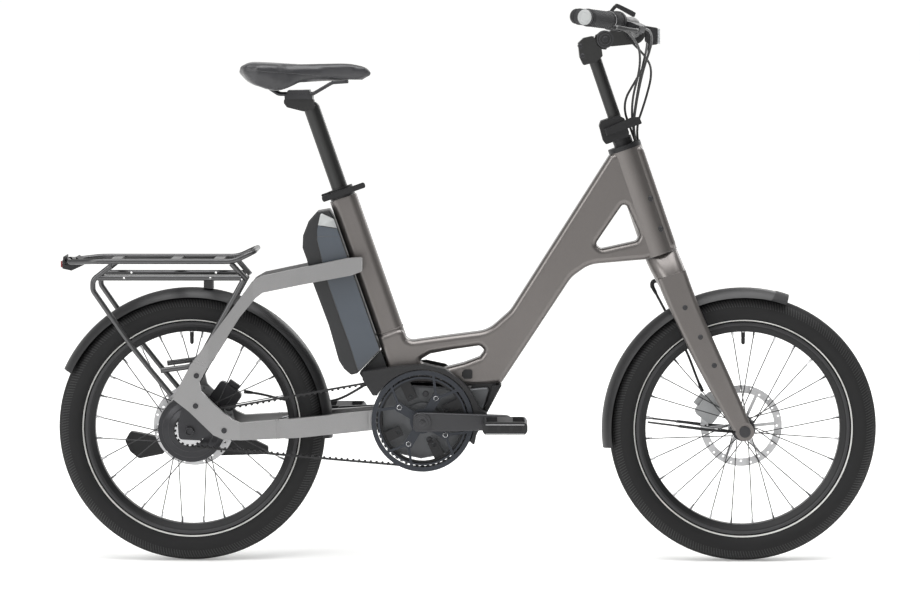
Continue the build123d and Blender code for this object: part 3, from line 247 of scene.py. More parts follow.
def mouldedPlastic(name, look):
    f = Finish(name)
    base = Vector(look["colour"])
    broad = f.noise(14.0, 3.0)
    tone = f.mix(broad.above(0.5, 0.6), base * 0.9, base * 1.12)
    grain = f.grains(look["grainScale"])
    fine = f.noise(look["grainScale"] * 2.2, 2.0)
    normal = f.bump(grain * 0.6 + fine * 0.4, look["grain"], 0.0003)
    rough = broad * 0.12 + (look["roughness"] - 0.06)
    return f.close(tone, rough, normal, Specular_IOR_Level=look.get("shine", 0.5), Coat_Weight=look.get("coat", 0.0),
                   Coat_Roughness=0.25)


def turnedMetal(name, look):
    # machined or brushed metal, its marks running round a wheel's axle or along one direction
    f = Finish(name)
    base = Vector(look["colour"])
    marks = f.noise(look["markScale"], 2.0, stretch=look["stretch"])
    broad = f.noise(9.0, 3.0)
    tone = f.mix(broad.above(0.5, 0.5), base * 0.9, base * 1.06)
    rough = marks * look["spread"] + (look["roughness"] - look["spread"] / 2)
    normal = f.bump(marks, look["depth"], 0.0002)
    return f.close(tone, rough, normal, Metallic=look.get("metallic", 1.0))


def discMetal(name, look, centre):
    # rings of turning marks about an axle
    f = Finish(name)
    spots = f.parts(f.moved(tuple(centre)))
    reach = (spots[0] * spots[0] + spots[2] * spots[2]) ** 0.5
    ring = f.node("CombineXYZ", {}, {0: reach * look["markScale"], 1: spots[1] * 20.0, 2: 0.0})[0]
    marks = f.node("TexNoise", {}, {"Vector": ring, "Scale": 1.0, "Detail": 2.0})[0]
    base = Vector(look["colour"])
    tone = f.mix(marks.above(0.5, 0.5), base * 0.86, base * 1.08)
    rough = marks * look["spread"] + (look["roughness"] - look["spread"] / 2)
    return f.close(tone, rough, f.bump(marks, look["depth"], 0.0002), Metallic=look.get("metallic", 1.0))


def rubber(name, look):
    f = Finish(name)
    base = Vector(look["colour"])
    broad = f.noise(look.get("cloud", 11.0), 4.0, 0.6)
    tone = f.mix(broad.above(0.52, 0.5), base * 0.85, base * 1.2)
    grain = f.noise(look["grainScale"], 3.0, 0.6)
    normal = f.bump(grain, look["grain"], 0.0004)
    return f.close(tone, broad * 0.14 + (look["roughness"] - 0.07), normal, Specular_IOR_Level=look["shine"])


def vinyl(name, look):
    # pressed saddle vinyl: fine pebbles with painted shade darkening their hollows, and a soft sheen
    f = Finish(name)
    base = Vector(look["colour"])
    broad = f.noise(16.0, 3.0)
    pebbles = f.grains(look["grainScale"])
    tone = f.mix(broad.above(0.5, 0.5), base * 0.88, base * 1.15)
    # painted shade: the pebbles' hollows, the low points of the bump below, are darkened
    tone = f.mix((1.0 - pebbles).above(0.75, 0.3) * 0.4, tone, base * 0.7)
    normal = f.bump(pebbles, look["grain"], 0.0003)
    normal = f.bump(f.noise(look["grainScale"] * 0.2, 3.0), look["grain"] * 0.4, 0.0004, normal)
    return f.close(tone, broad * 0.14 + (look["roughness"] - 0.07), normal, Specular_IOR_Level=look["shine"],
                   Sheen_Weight=0.1, Sheen_Roughness=0.5)


def clearLens(name, look):
    f = Finish(name)
    tint = f.mix(f.noise(60.0, 1.0).above(0.5, 0.6), Vector(look["colour"]) * 0.95, look["colour"])
    ribs = f.node("TexWave", {"bands_direction": look["ribs"]}, {"Vector": f.place, "Scale": look["ribScale"]})[1]
    return f.close(tint, look["roughness"], f.bump(ribs, look["depth"], 0.0006), Transmission_Weight=look["clear"],
                   IOR=1.45, Specular_IOR_Level=0.6)


paintBase = {"drift": 0.08, "coat": 0.0, "flakeScale": 2400.0}

looks = {
    "taupe": {"colour": (0.145, 0.134, 0.129), "metallic": 0.8, "roughness": 0.34, "drift": 0.06,
              "flakes": 0.35, "flakeScale": 2600.0, "peel": 0.05, "peelScale": 420.0, "coat": 0.25},
    "silver": {"colour": (0.245, 0.243, 0.245), "metallic": 0.85, "roughness": 0.34, "flakes": 0.3,
               "flakeScale": 2200.0, "peel": 0.05, "peelScale": 380.0, "coat": 0.15},
    "black": {"colour": (0.011, 0.011, 0.012), "metallic": 0.35, "roughness": 0.42, "drift": 0.1,
              "flakes": 0.15, "peel": 0.12, "peelScale": 900.0},
    "grey": {"colour": (0.03, 0.03, 0.033), "metallic": 0.55, "roughness": 0.38, "flakes": 0.2, "peel": 0.1,
             "peelScale": 700.0},
    "guard": {"colour": (0.026, 0.029, 0.036), "metallic": 0.5, "roughness": 0.4, "flakes": 0.2, "peel": 0.08,
              "peelScale": 700.0},
    "crank": {"colour": (0.04, 0.04, 0.043), "metallic": 0.5, "roughness": 0.4, "flakes": 0.15, "peel": 0.08,
              "peelScale": 700.0},
    "calliper": {"colour": (0.3, 0.305, 0.31), "metallic": 0.75, "roughness": 0.4, "drift": 0.1, "flakes": 0.3,
                 "flakeScale": 1800.0, "peel": 0.12, "peelScale": 600.0},
    "rack": {"colour": (0.085, 0.085, 0.087), "metallic": 0.85, "roughness": 0.3, "flakes": 0.2,
             "flakeScale": 2200.0, "peel": 0.06, "peelScale": 500.0, "coat": 0.1},
    "post": {"colour": (0.04, 0.04, 0.04), "metallic": 0.75, "roughness": 0.32, "flakes": 0.15,
             "flakeScale": 2600.0, "peel": 0.08, "peelScale": 800.0},
    "motor": {"colour": (0.11, 0.113, 0.118), "metallic": 0.75, "roughness": 0.5, "drift": 0.12, "flakes": 0.25,
              "flakeScale": 1600.0, "peel": 0.25, "peelScale": 520.0},
}
materials = {key: paint(key + "_paint", {**paintBase, **look}) for key, look in looks.items()}
plainLooks = {
    "plastic": (mouldedPlastic, "dark_plastic", {
        "colour": (0.011, 0.011, 0.012), "roughness": 0.5, "grain": 0.22, "grainScale": 900.0, "shine": 0.4}),
    "fender": (mouldedPlastic, "fender_plastic", {
        "colour": (0.016, 0.016, 0.017), "roughness": 0.42, "grain": 0.12, "grainScale": 1100.0, "shine": 0.45}),
    "shell": (mouldedPlastic, "battery_shell", {
        "colour": (0.012, 0.0125, 0.014), "roughness": 0.36, "grain": 0.1, "grainScale": 1200.0, "shine": 0.5}),
    "panel": (mouldedPlastic, "battery_panel", {
        "colour": (0.045, 0.055, 0.07), "roughness": 0.3, "grain": 0.06, "grainScale": 1300.0, "shine": 0.55,
        "coat": 0.15}),
    "panelTop": (mouldedPlastic, "battery_top", {
        "colour": (0.36, 0.37, 0.37), "roughness": 0.38, "grain": 0.06, "grainScale": 1300.0, "shine": 0.5}),
    "steel": (turnedMetal, "brushed_steel", {
        "colour": (0.5, 0.5, 0.51), "roughness": 0.32, "spread": 0.16, "markScale": 300.0, "stretch": (1, 6, 1),
        "depth": 0.1}),
    "bright": (turnedMetal, "bright_rim", {
        "colour": (0.62, 0.62, 0.63), "roughness": 0.25, "spread": 0.1, "markScale": 500.0,
        "stretch": (1, 3, 1), "depth": 0.05}),
    "tyre": (rubber, "tyre_rubber", {
        "colour": (0.009, 0.009, 0.0095), "roughness": 0.72, "grain": 0.35, "grainScale": 900.0, "shine": 0.3}),
    "grip": (rubber, "grip_rubber", {
        "colour": (0.026, 0.026, 0.028), "roughness": 0.66, "grain": 0.4, "grainScale": 1400.0, "shine": 0.35}),
    "cable": (rubber, "cable_jacket", {
        "colour": (0.011, 0.011, 0.012), "roughness": 0.4, "grain": 0.12, "grainScale": 1800.0, "shine": 0.5}),
    "rim": (mouldedPlastic, "rim_black", {
        "colour": (0.02, 0.02, 0.022), "roughness": 0.45, "grain": 0.05, "grainScale": 900.0, "shine": 0.5}),
    "belt": (rubber, "belt_rubber", {
        "colour": (0.013, 0.013, 0.014), "roughness": 0.55, "grain": 0.25, "grainScale": 1500.0, "shine": 0.4}),
    "bolt": (turnedMetal, "bolt_black", {
        "colour": (0.05, 0.05, 0.053), "roughness": 0.34, "spread": 0.12, "markScale": 700.0,
        "stretch": (1, 2, 1), "depth": 0.08, "metallic": 0.8}),
    "thread": (rubber, "seat_thread", {
        "colour": (0.05, 0.05, 0.052), "roughness": 0.7, "grain": 0.5, "grainScale": 4000.0, "shine": 0.3}),
    "screen": (mouldedPlastic, "screen_glass", {
        "colour": (0.012, 0.014, 0.018), "roughness": 0.12, "grain": 0.01, "grainScale": 700.0, "shine": 0.6,
        "coat": 0.6}),
    "vinyl": (vinyl, "saddle_vinyl", {
        "colour": (0.028, 0.028, 0.031), "roughness": 0.33, "grain": 0.25, "grainScale": 900.0, "shine": 0.5}),
    # painted highlight: the tread blocks get a lighter copy of the tyre rubber so they read as lit
    "tread": (rubber, "tread_rubber", {
        "colour": (0.02, 0.02, 0.0205), "roughness": 0.6, "grain": 0.3, "grainScale": 900.0, "shine": 0.4}),
    "foot": (rubber, "foot_rubber", {
        "colour": (0.014, 0.014, 0.015), "roughness": 0.6, "grain": 0.3, "grainScale": 800.0, "shine": 0.35}),
    "stripe": (rubber, "reflex_band", {
        "colour": (0.62, 0.62, 0.6), "roughness": 0.45, "grain": 0.2, "grainScale": 2600.0, "shine": 0.6,
        "cloud": 30.0}),
    "lens": (clearLens, "lamp_lens", {
        "colour": (0.86, 0.88, 0.9), "roughness": 0.08, "ribs": "Z", "ribScale": 90.0, "depth": 0.3,
        "clear": 0.55}),
    "redLens": (clearLens, "tail_lens", {
        "colour": (0.22, 0.012, 0.012), "roughness": 0.15, "ribs": "Y", "ribScale": 70.0, "depth": 0.4,
        "clear": 0.2}),
}
for key, (maker, label, look) in plainLooks.items():
    materials[key] = maker(label, look)
for end, centre in (("front", frontWheel), ("rear", rearWheel)):
    materials[end + "Disc"] = discMetal(end + "_disc", {"colour": (0.46, 0.46, 0.47), "roughness": 0.34, "spread": 0.2,
                                                        "markScale": 1500.0, "depth": 0.12}, centre)
    materials[end + "Hub"] = discMetal(end + "_hub_black", {"colour": (0.03, 0.03, 0.033), "roughness": 0.36,
                                                            "spread": 0.14, "markScale": 700.0, "depth": 0.1,
                                                            "metallic": 0.6}, centre)
print("materials made")

nodeFinish = {
    "taupe": ["front_frame", "seat_tube", "fork"],
    "silver": ["rear_stays"],
    "black": ["belt_ring", "saddle_cover", "kickstand_mount", "seat_collar", "seat_lever", "kickstand_leg",
              "stem_collar", "stem_lever", "handlebar", "brake_lever_right", "brake_lever_left", "front_rim",
              "rear_rim"],
    "grey": ["axle_hardware", "rear_calliper", "lever_bodies"],
    "rack": ["rack"],
    "post": ["seat_post", "mast", "stem_head", "bar_clamp"],
    "crank": ["crank_arms"],
    "calliper": ["front_calliper"],
    "guard": ["crank_spider"],
    "motor": ["motor_unit"],
    "plastic": ["battery_mount", "motor_covers", "tail_light", "saddle_base", "charge_port_cap", "pedal_right",
                "pedal_left", "display", "headlight"],
    "fender": ["rear_fender", "front_fender"],
    "shell": ["battery_case"],
    "panel": ["battery_panels"],
    "steel": ["headset", "rear_sprocket"],
    "bolt": ["saddle_rails", "fork_axle"],
    "rim": ["front_spokes", "rear_spokes"],
    "cable": ["rear_brake_hose", "front_brake_hose", "control_cables", "belt"],
    "tyre": ["front_tyre", "rear_tyre"],
    "grip": ["grips", "twist_shifter"],
    "frontDisc": ["front_rotor"],
    "rearDisc": ["rear_rotor"],
    "frontHub": ["front_hub"],
    "rearHub": ["rear_hub"],
}
for key, names in nodeFinish.items():
    for name in names:
        node = frame["nodes"][name]
        node.data.materials.clear()
        node.data.materials.append(materials[key])


stageLook = {"reach": 60, "glow": 0.62, "glowNear": 0.24, "glowFrom": 3.2, "horizon": 1.02, "above": 0.42,
             "flagTop": 0.28, "nearBright": 0.85, "nearDark": 0.12, "overhead": 210, "side": 60, "behind": 60}


def makeStage():
    look = stageLook
    floorLook = Finish("studio_floor")
    tone = floorLook.mix(floorLook.noise(0.8, 2.0), (0.9, 0.9, 0.895), (0.92, 0.92, 0.915))
    ways = floorLook.parts(floorLook.place)
    far = ((ways[0] * ways[0] + ways[1] * ways[1]) ** 0.5).above(look["glowFrom"], look["glowFrom"] * 1.6)
    glow = floorLook.mix(far, Vector((1, 1, 0.99)) * look["glowNear"], Vector((1, 1, 0.99)) * look["glow"])
    floorMaterial = floorLook.close(tone, 0.9, Specular_IOR_Level=0.1, Emission_Color=glow, Emission_Strength=1.0)
    mesh = bpy.data.meshes.new("floor")
    reach = look["reach"]
    corners = [(-reach, -reach, 0), (reach, -reach, 0), (reach, reach, 0), (-reach, reach, 0)]
    mesh.from_pydata(corners, [], [(0, 1, 2, 3)])
    mesh.materials.append(floorMaterial)
    floor = addObject("floor", mesh)
    world = bpy.data.worlds.new("studio")
    world.use_nodes = True
    sky = Graph(world.node_tree, "ShaderNode")
    sky.tree.nodes.clear()
    ways = sky.node("SeparateXYZ", {}, {0: sky.node("TexCoord")[0]})
    height = ways[2]
    low = height.above(look["flagTop"], -0.3)
    near = ways[1].above(-0.25, -0.5)
    shaded = ways[0].above(0.1, 1.1) * (look["nearDark"] - look["nearBright"]) + look["nearBright"]
    backdrop = low * (look["horizon"] - look["above"]) + look["above"]
    strength = near * shaded + (1.0 - near) * backdrop
    glow = sky.node("Background", {}, {"Color": (1, 1, 0.99, 1), "Strength": strength})[0]
    sky.node("OutputWorld", {}, {"Surface": glow})
    scene.world = world
    makeLight("overhead", (0.2, -0.6, 4.2), (0, 0, 0.4), (5.0, 3.2), look["overhead"])
    makeLight("side", (-3.4, -3.2, 2.4), (0, 0, 0.6), (2.2, 2.2), look["side"])
    makeLight("behind", (2.4, 3.6, 2.6), (0, 0, 0.5), (3.0, 2.0), look["behind"])
    scene.view_settings.view_transform = "Standard"


# mesh helpers

def evaluated(thing):
    # the plain mesh that a thing's modifiers or its curve come out as
    bpy.context.view_layer.update()
    return bpy.data.meshes.new_from_object(thing.evaluated_get(bpy.context.evaluated_depsgraph_get()))


def cutAcross(work, point, normal, **more):
    return bmesh.ops.bisect_plane(work, geom=work.verts[:] + work.edges[:] + work.faces[:], plane_co=point,
                                  plane_no=normal, dist=1e-7, **more)["geom_cut"]


def makePiece(name, verts, faces, material, body=None, slot=None, instead=(), smooth=35.0):
    mesh = bpy.data.meshes.new(name)
    mesh.from_pydata([tuple(v) for v in verts], [], faces)
    mesh.update()
    pointOut(mesh)
    return dress(name, mesh, material, body, instead, smooth)


def pointOut(mesh):
    work = bmesh.new()
    work.from_mesh(mesh)
    bmesh.ops.remove_doubles(work, verts=work.verts, dist=1e-7)
    bmesh.ops.recalc_face_normals(work, faces=work.faces)
    work.to_mesh(mesh)
    work.free()


def dress(name, mesh, material, body=None, instead=(), smooth=35.0):
    # finish, shading and the body it rides on
    if material:
        mesh.materials.clear()
        mesh.materials.append(material)
    mesh.polygons.foreach_set("use_smooth", [True] * len(mesh.polygons))
    mesh.set_sharp_from_angle(angle=math.radians(smooth))
    made = addObject(name, mesh)
    if body:
        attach(made, body)
    if instead:
        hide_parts(*instead)
    return made


def ringRows(profile, place, steps):
    verts, rows = [], []
    for reach, along in profile:
        if reach < 1e-6:
            rows.append([len(verts)])
            verts.append(place @ Vector((0, 0, along)))
            continue
        rows.append(list(range(len(verts), len(verts) + steps)))
        for step in range(steps):
            turn = 2 * math.pi * step / steps
            verts.append(place @ Vector((reach * math.cos(turn), reach * math.sin(turn), along)))
    return verts, rows


def skin(rows, closed):
    faces = []
    for low, high in zip(rows, rows[1:] + (rows[:1] if closed else [])):
        count = max(len(low), len(high))
        for step in range(count):
            after = (step + 1) % count
            if len(low) == 1:
                faces.append((low[0], high[after], high[step]))
            elif len(high) == 1:
                faces.append((low[step], low[after], high[0]))
            else:
                faces.append((low[step], low[after], high[after], high[step]))
    return faces


def lathe(profile, place, steps=64, closed=False):
    # closed joins the last ring to the first; otherwise the profile starts and ends on the axis
    verts, rows = ringRows(profile, place, steps)
    return verts, skin(rows, closed)


def joined(*shapes):
    verts, faces = [], []
    for moreVerts, moreFaces in shapes:
        start = len(verts)
        verts += list(moreVerts)
        faces += [tuple(start + corner for corner in face) for face in moreFaces]
    return verts, faces


def arcPoints(start, middle, end, count):
    # points of the circle through three points, from start to end
    ax, ay = start
    bx, by = middle
    cx, cy = end
    spread = 2 * (ax * (by - cy) + bx * (cy - ay) + cx * (ay - by))
    ux = ((ax**2 + ay**2) * (by - cy) + (bx**2 + by**2) * (cy - ay) + (cx**2 + cy**2) * (ay - by)) / spread
    uy = ((ax**2 + ay**2) * (cx - bx) + (bx**2 + by**2) * (ax - cx) + (cx**2 + cy**2) * (bx - ax)) / spread
    reach = math.hypot(ax - ux, ay - uy)
    angles = [math.atan2(y - uy, x - ux) for x, y in (start, middle, end)]
    full = 2 * math.pi
    sweep = (angles[2] - angles[0]) % full
    if (angles[1] - angles[0]) % full > sweep:
        sweep -= full
    return [(ux + reach * math.cos(angles[0] + sweep * k / count), uy + reach * math.sin(angles[0] + sweep * k / count))
            for k in range(count + 1)]


def splineLine(points, fineness=10):
    # the smooth line of a route, read back from its NURBS spline
    curve = bpy.data.curves.new("route", "CURVE")
    curve.dimensions = "3D"
    curve.resolution_u = fineness
    spline = curve.splines.new("NURBS")
    spline.points.add(len(points) - 1)
    for point, place in zip(spline.points, points):
        point.co = (*place, 1)
    spline.order_u = 3
    spline.use_endpoint_u = True
    holder = addObject("route", curve)
    mesh = evaluated(holder)
    line = [v.co.copy() for v in mesh.vertices]
    bpy.data.objects.remove(holder)
    return line


def tube(line, reach, steps=14, closed=False):
    # a round skin along a line of points, without twist
    count = len(line)
    verts, rows = [], []
    tangent = side = None
    for index, place in enumerate(line):
        before = line[index - 1] if index or closed else line[0]
        after = line[(index + 1) % count] if index + 1 < count or closed else line[-1]
        ahead = (Vector(after) - Vector(before)).normalized()
        if side is None:
            side = ahead.orthogonal().normalized()
        else:
            side = tangent.rotation_difference(ahead) @ side
        tangent = ahead
        up = ahead.cross(side)
        rows.append(list(range(len(verts), len(verts) + steps)))
        for step in range(steps):
            turn = 2 * math.pi * step / steps
            verts.append(Vector(place) + side * (reach * math.cos(turn)) + up * (reach * math.sin(turn)))
    faces = skin(rows, closed)
    if not closed:
        for row, place in ((rows[0], line[0]), (rows[-1], line[-1])):
            verts.append(Vector(place))
            faces += [(row[step], row[(step + 1) % steps], len(verts) - 1) for step in range(steps)]
    return verts, faces


def slab(outline, place, thickness, rounding=0.0):
    # a flat plate with its outline in the frame's X and Y, its top edge rounded off
    count = len(outline)
    middle = Vector((sum(p[0] for p in outline) / count, sum(p[1] for p in outline) / count, 0))
    levels = [(0.0, 0.0), (thickness - rounding, 0.0), (thickness, rounding)]
    verts, rows = [place @ middle], [[0]]
    for height, inset in levels:
        rows.append(list(range(len(verts), len(verts) + count)))
        for x, y in outline:
            point = Vector((x, y, 0))
            inward = (middle - point).normalized() * inset
            verts.append(place @ (point + inward + Vector((0, 0, height))))
    rows.append([len(verts)])
    verts.append(place @ (middle + Vector((0, 0, thickness))))
    return verts, skin(rows, False)


def roundedBox(length, breadth, corner, count=5):
    # outline of a rectangle with round corners
    points = []
    for number, (sx, sy) in enumerate(((1, 1), (-1, 1), (-1, -1), (1, -1))):
        for step in range(count + 1):
            turn = math.pi / 2 * (number + step / count)
            points.append((sx * (length / 2 - corner) + corner * math.cos(turn),
                           sy * (breadth / 2 - corner) + corner * math.sin(turn)))
    return points


def edgePlace(edge):
    return tuple(edge.verts[0].co + edge.verts[1].co)


def loopsOf(node, point, normal):
    # closed outlines where a plane cuts a CAD piece
    work = bmesh.new()
    work.from_mesh(frame["nodes"][node].data)
    bmesh.ops.remove_doubles(work, verts=work.verts, dist=1e-6)
    cut = cutAcross(work, point, normal)
    # edges are taken in the order of their places, so each run finds the same outlines
    edges = sorted((e for e in cut if isinstance(e, bmesh.types.BMEdge)), key=edgePlace)
    found = []
    while edges:
        edge = edges.pop()
        chain = sorted(edge.verts, key=lambda vert: tuple(vert.co))
        while True:
            following = [e for e in chain[-1].link_edges if e in edges]
            if not following:
                break
            edge = min(following, key=edgePlace)
            edges.remove(edge)
            chain.append(edge.other_vert(chain[-1]))
        found.append([v.co.copy() for v in chain])
    work.free()
    return [loop[:-1] if (loop[0] - loop[-1]).length < 1e-6 else loop for loop in found if len(loop) > 4]


def nearestLoop(node, point, normal):
    return min(loopsOf(node, point, normal), key=lambda loop: (sum(loop, Vector()) / len(loop) - point).length)


def roundLength(loop):
    return sum((a - b).length for a, b in zip(loop, loop[1:] + loop[:1]))


# geometry nodes

def growTree(name, inputs):
    tree = bpy.data.node_groups.new(name, "GeometryNodeTree")
    for label, kind, value in [("Geometry", "NodeSocketGeometry", None)] + inputs:
        socket = tree.interface.new_socket(label, in_out="INPUT", socket_type=kind)
        if value is not None:
            socket.default_value = value
    tree.interface.new_socket("Geometry", in_out="OUTPUT", socket_type="NodeSocketGeometry")
    graph = Graph(tree, "GeometryNode")
    into = tree.nodes.new("NodeGroupInput")
    wires = {socket.name: Wire(graph, socket) for socket in into.outputs if socket.name}
    return tree, graph, wires


def endTree(graph, wires, placed):
    real = graph.node("RealizeInstances", {}, {0: placed})[0]
    finished = graph.node("SetMaterial", {}, {"Geometry": real, "Material": wires["Finish"]})[0]
    out = graph.tree.nodes.new("NodeGroupOutput")
    graph.feed(out.inputs[0], finished)


def pathTree():
    # copies of one piece spread along a line, X ahead and Z away from a centre or along Up
    tree, graph, wires = growTree("alongPath", [
        ("Piece", "NodeSocketObject", None), ("Finish", "NodeSocketMaterial", None), ("Count", "NodeSocketInt", 10),
        ("Centre", "NodeSocketVector", None), ("Away", "NodeSocketFloat", 1.0), ("Up", "NodeSocketVector", None),
        ("Spread", "NodeSocketFloat", 0.0), ("Seed", "NodeSocketInt", 3)])
    line = graph.node("MeshToCurve", {}, {0: wires["Geometry"]})[0]
    spaced = graph.node("ResampleCurve", {}, {"Curve": line, "Count": wires["Count"]})[0]
    piece = graph.node("ObjectInfo", {}, {"Object": wires["Piece"]})[-1]
    away = graph.node("ShaderNodeVectorMath", {"operation": "SUBTRACT"},
                      {0: graph.node("InputPosition")[0], 1: wires["Centre"]})[0]
    up = graph.node("ShaderNodeMix", {"data_type": "VECTOR"}, {0: wires["Away"], 4: wires["Up"], 5: away})[1]
    ahead = graph.node("FunctionNodeAlignRotationToVector", {"axis": "X"},
                       {"Vector": graph.node("InputTangent")[0]})[0]
    turned = graph.node("FunctionNodeAlignRotationToVector", {"axis": "Z", "pivot_axis": "X"},
                        {"Rotation": ahead, "Vector": up})[0]
    size = graph.node("FunctionNodeRandomValue", {"data_type": "FLOAT"},
                      {2: 1.0 - wires["Spread"], 3: wires["Spread"] + 1.0, 8: wires["Seed"]})[1]
    placed = graph.node("InstanceOnPoints", {}, {"Points": spaced, "Instance": piece, "Rotation": turned,
                                                 "Scale": size})[0]
    endTree(graph, wires, placed)
    return tree


def pointTree():
    # copies of one piece on marked points, Z along each point's facing
    tree, graph, wires = growTree("onPoints", [
        ("Piece", "NodeSocketObject", None), ("Finish", "NodeSocketMaterial", None)])
    piece = graph.node("ObjectInfo", {}, {"Object": wires["Piece"]})[-1]
    facing = graph.node("InputNamedAttribute", {"data_type": "FLOAT_VECTOR"}, {"Name": "facing"})[0]
    turned = graph.node("FunctionNodeAlignRotationToVector", {"axis": "Z"}, {"Vector": facing})[0]
    placed = graph.node("InstanceOnPoints", {}, {"Points": wires["Geometry"], "Instance": piece,
                                                 "Rotation": turned})[0]
    endTree(graph, wires, placed)
    return tree


def grow(tree, source, values):
    # runs a tree on a mesh and returns the plain mesh that it makes
    holder = addObject("grower", source)
    modifier = holder.modifiers.new("grow", "NODES")
    modifier.node_group = tree
    for item in tree.interface.items_tree:
        if item.item_type == "SOCKET" and item.in_out == "INPUT" and item.name in values:
            modifier[item.identifier] = values[item.name]
    mesh = evaluated(holder)
    holder.modifiers.remove(modifier)
    bpy.data.objects.remove(holder)
    return mesh


alongPath = pathTree()
onPoints = pointTree()


def repeatAlong(name, line, shape, count, material, body, closed=True, centre=None, up=(0, 0, 1), spread=0.0,
                seed=3, smooth=35.0):
    source = bpy.data.meshes.new("path")
    edges = [(k, k + 1) for k in range(len(line) - 1)] + ([(len(line) - 1, 0)] if closed else [])
    source.from_pydata([tuple(p) for p in line], edges, [])
    piece = makePiece("seed", *shape, material)
    mesh = grow(alongPath, source, {"Piece": piece, "Finish": material, "Count": count,
                                    "Centre": tuple(centre or (0, 0, 0)), "Away": 1.0 if centre is not None else 0.0,
                                    "Up": tuple(up), "Spread": spread, "Seed": seed})
    bpy.data.objects.remove(piece)
    return dress(name, mesh, material, body, smooth=smooth)


def putOn(name, places, shape, material, body):
    source = bpy.data.meshes.new("spots")
    source.from_pydata([tuple(p) for p, way in places], [], [])
    facing = source.attributes.new("facing", "FLOAT_VECTOR", "POINT")
    facing.data.foreach_set("vector", [c for p, way in places for c in Vector(way).normalized()])
    piece = makePiece("seed", *shape, material)
    mesh = grow(onPoints, source, {"Piece": piece, "Finish": material})
    bpy.data.objects.remove(piece)
    return dress(name, mesh, material, body, smooth=30.0)


def socketHead(reach, height, key=0.5, depth=0.6, steps=24):
    # a screw head with a real hexagon socket
    hexagon = []
    for step in range(steps):
        turn = 2 * math.pi * step / steps
        hexagon.append(key * reach * math.cos(math.pi / 6) / math.cos((turn % (math.pi / 3)) - math.pi / 6))
    rings = [(0, 0.0, None), (reach, 0.0, None), (reach, height * 0.72, None), (reach * 0.88, height, None),
             (1, height, hexagon), (1, height * (1 - depth), hexagon), (0, height * (1 - depth), None)]
    verts, rows = [], []
    for size, along, shape in rings:
        if size == 0:
            rows.append([len(verts)])
            verts.append(Vector((0, 0, along)))
            continue
        rows.append(list(range(len(verts), len(verts) + steps)))
        for step in range(steps):
            turn = 2 * math.pi * step / steps
            wide = shape[step] if shape else size
            verts.append(Vector((wide * math.cos(turn), wide * math.sin(turn), along)))
    return verts, skin(rows, False)


def washer(outer, inner, height):
    return lathe([(inner, 0), (outer, 0), (outer, height * 0.7), (outer - height * 0.5, height), (inner, height)],
                 Matrix.Identity(4), 28, closed=True)


def circleLine(centre, reach, axis, count):
    place = placeAt(centre, axis, (0, 0, 1) if abs(Vector(axis).z) < 0.9 else (1, 0, 0))
    turns = [2 * math.pi * k / count for k in range(count)]
    return [place @ Vector((reach * math.cos(turn), reach * math.sin(turn), 0)) for turn in turns]


def seatPoint(x, y, z):
    return seatPlace @ Vector((x, y, z))


mm = 0.001
print("helpers ready")


# tyres, rims and spokes

tyreShape = {"top": 261, "rim": 209, "bead": 11.8, "wide": 28.5, "bulge": 231, "shoulder": 19.0, "shoulderTop": 254,
             "grooves": (6.5, 13.0), "grooveDepth": 1.1, "teeth": 288, "stripe": (211.2, 214.4)}


def wheelPlace(centre):
    return placeAt(centre, across, (0, 0, 1))


def sidewall(count=24):
    t = tyreShape
    return arcPoints((t["rim"] + 1, t["bead"]), (t["bulge"], t["wide"]), (t["shoulderTop"], t["shoulder"]), count)


blockFaces = [(0, 1, 3, 2), (4, 6, 7, 5), (0, 4, 5, 1), (2, 3, 7, 6), (1, 5, 7, 3), (0, 2, 6, 4)]


def makeTyre(end, centre):
    t = tyreShape
    side = sidewall()
    crown = arcPoints((t["shoulderTop"], t["shoulder"]), (t["top"], 0), (t["shoulderTop"], -t["shoulder"]), 60)
    tread = []
    for reach, along in crown[1:-1]:
        inGroove = min(abs(abs(along) - groove) for groove in t["grooves"]) < 0.8
        tread.append((reach - (t["grooveDepth"] if inGroove else 0.0), along))
    other = [(reach, -along) for reach, along in reversed(side)]
    inner = [(t["rim"] - 4, -t["bead"] + 1), (t["rim"] - 4, -t["bead"] + 5), (t["rim"] + 10, -18), (t["top"] - 10, -12),
             (t["top"] - 10, 12), (t["rim"] + 10, 18), (t["rim"] - 4, t["bead"] - 5), (t["rim"] - 4, t["bead"] - 1)]
    profile = [(r * mm, a * mm) for r, a in side + tread + other + inner]
    makePiece(end + "_tyre_body", *lathe(profile, wheelPlace(centre), 160, closed=True), materials["tyre"],
              end + "_wheel", "tyre_rubber", [end + "_tyre"], smooth=50)
    blocks = []
    for sign in (-1, 1):
        wall = [(253.6, 19.6), (249.5, 22.6), (244.5, 25.5), (239.5, 27.4)]
        for number in range(len(wall) - 1):
            (r0, a0), (r1, a1) = wall[number], wall[number + 1]
            lean0, lean1 = number * 1.5, (number + 1) * 1.5
            wide = 1.45 - 0.3 * number
            proud = 1.1
            base = 250.0
            corners = []
            for r, a, lean in ((r0, a0, lean0), (r1, a1, lean1)):
                for dx in (-wide, wide):
                    for out in (-0.6, proud):
                        place = Vector((dx + lean, sign * (a + out * 0.75), r - base + out * 0.6))
                        corners.append(place * mm)
            blocks.append((corners, blockFaces))
    line = circleLine(centre, 250 * mm, across, t["teeth"])
    # the tread blocks take the lighter tread rubber, a painted highlight
    repeatAlong(end + "_tyre_tread", line, joined(*blocks), t["teeth"], materials["tread"], end + "_wheel",
                centre=centre, smooth=20)
    low, high = t["stripe"]
    band = [(r, a) for r, a in sidewall(60) if low <= r <= high]
    bands = []
    for sign in (1, -1):
        outer = [((r - 0.1) * mm, sign * (a + 0.35) * mm) for r, a in band]
        under = [((r + 0.1) * mm, sign * (a - 0.5) * mm) for r, a in reversed(band)]
        bands.append(lathe(outer + under, wheelPlace(centre), 160, closed=True))
    makePiece(end + "_tyre_stripe", *joined(*bands), materials["stripe"], end + "_wheel", "tyre_rubber", smooth=60)


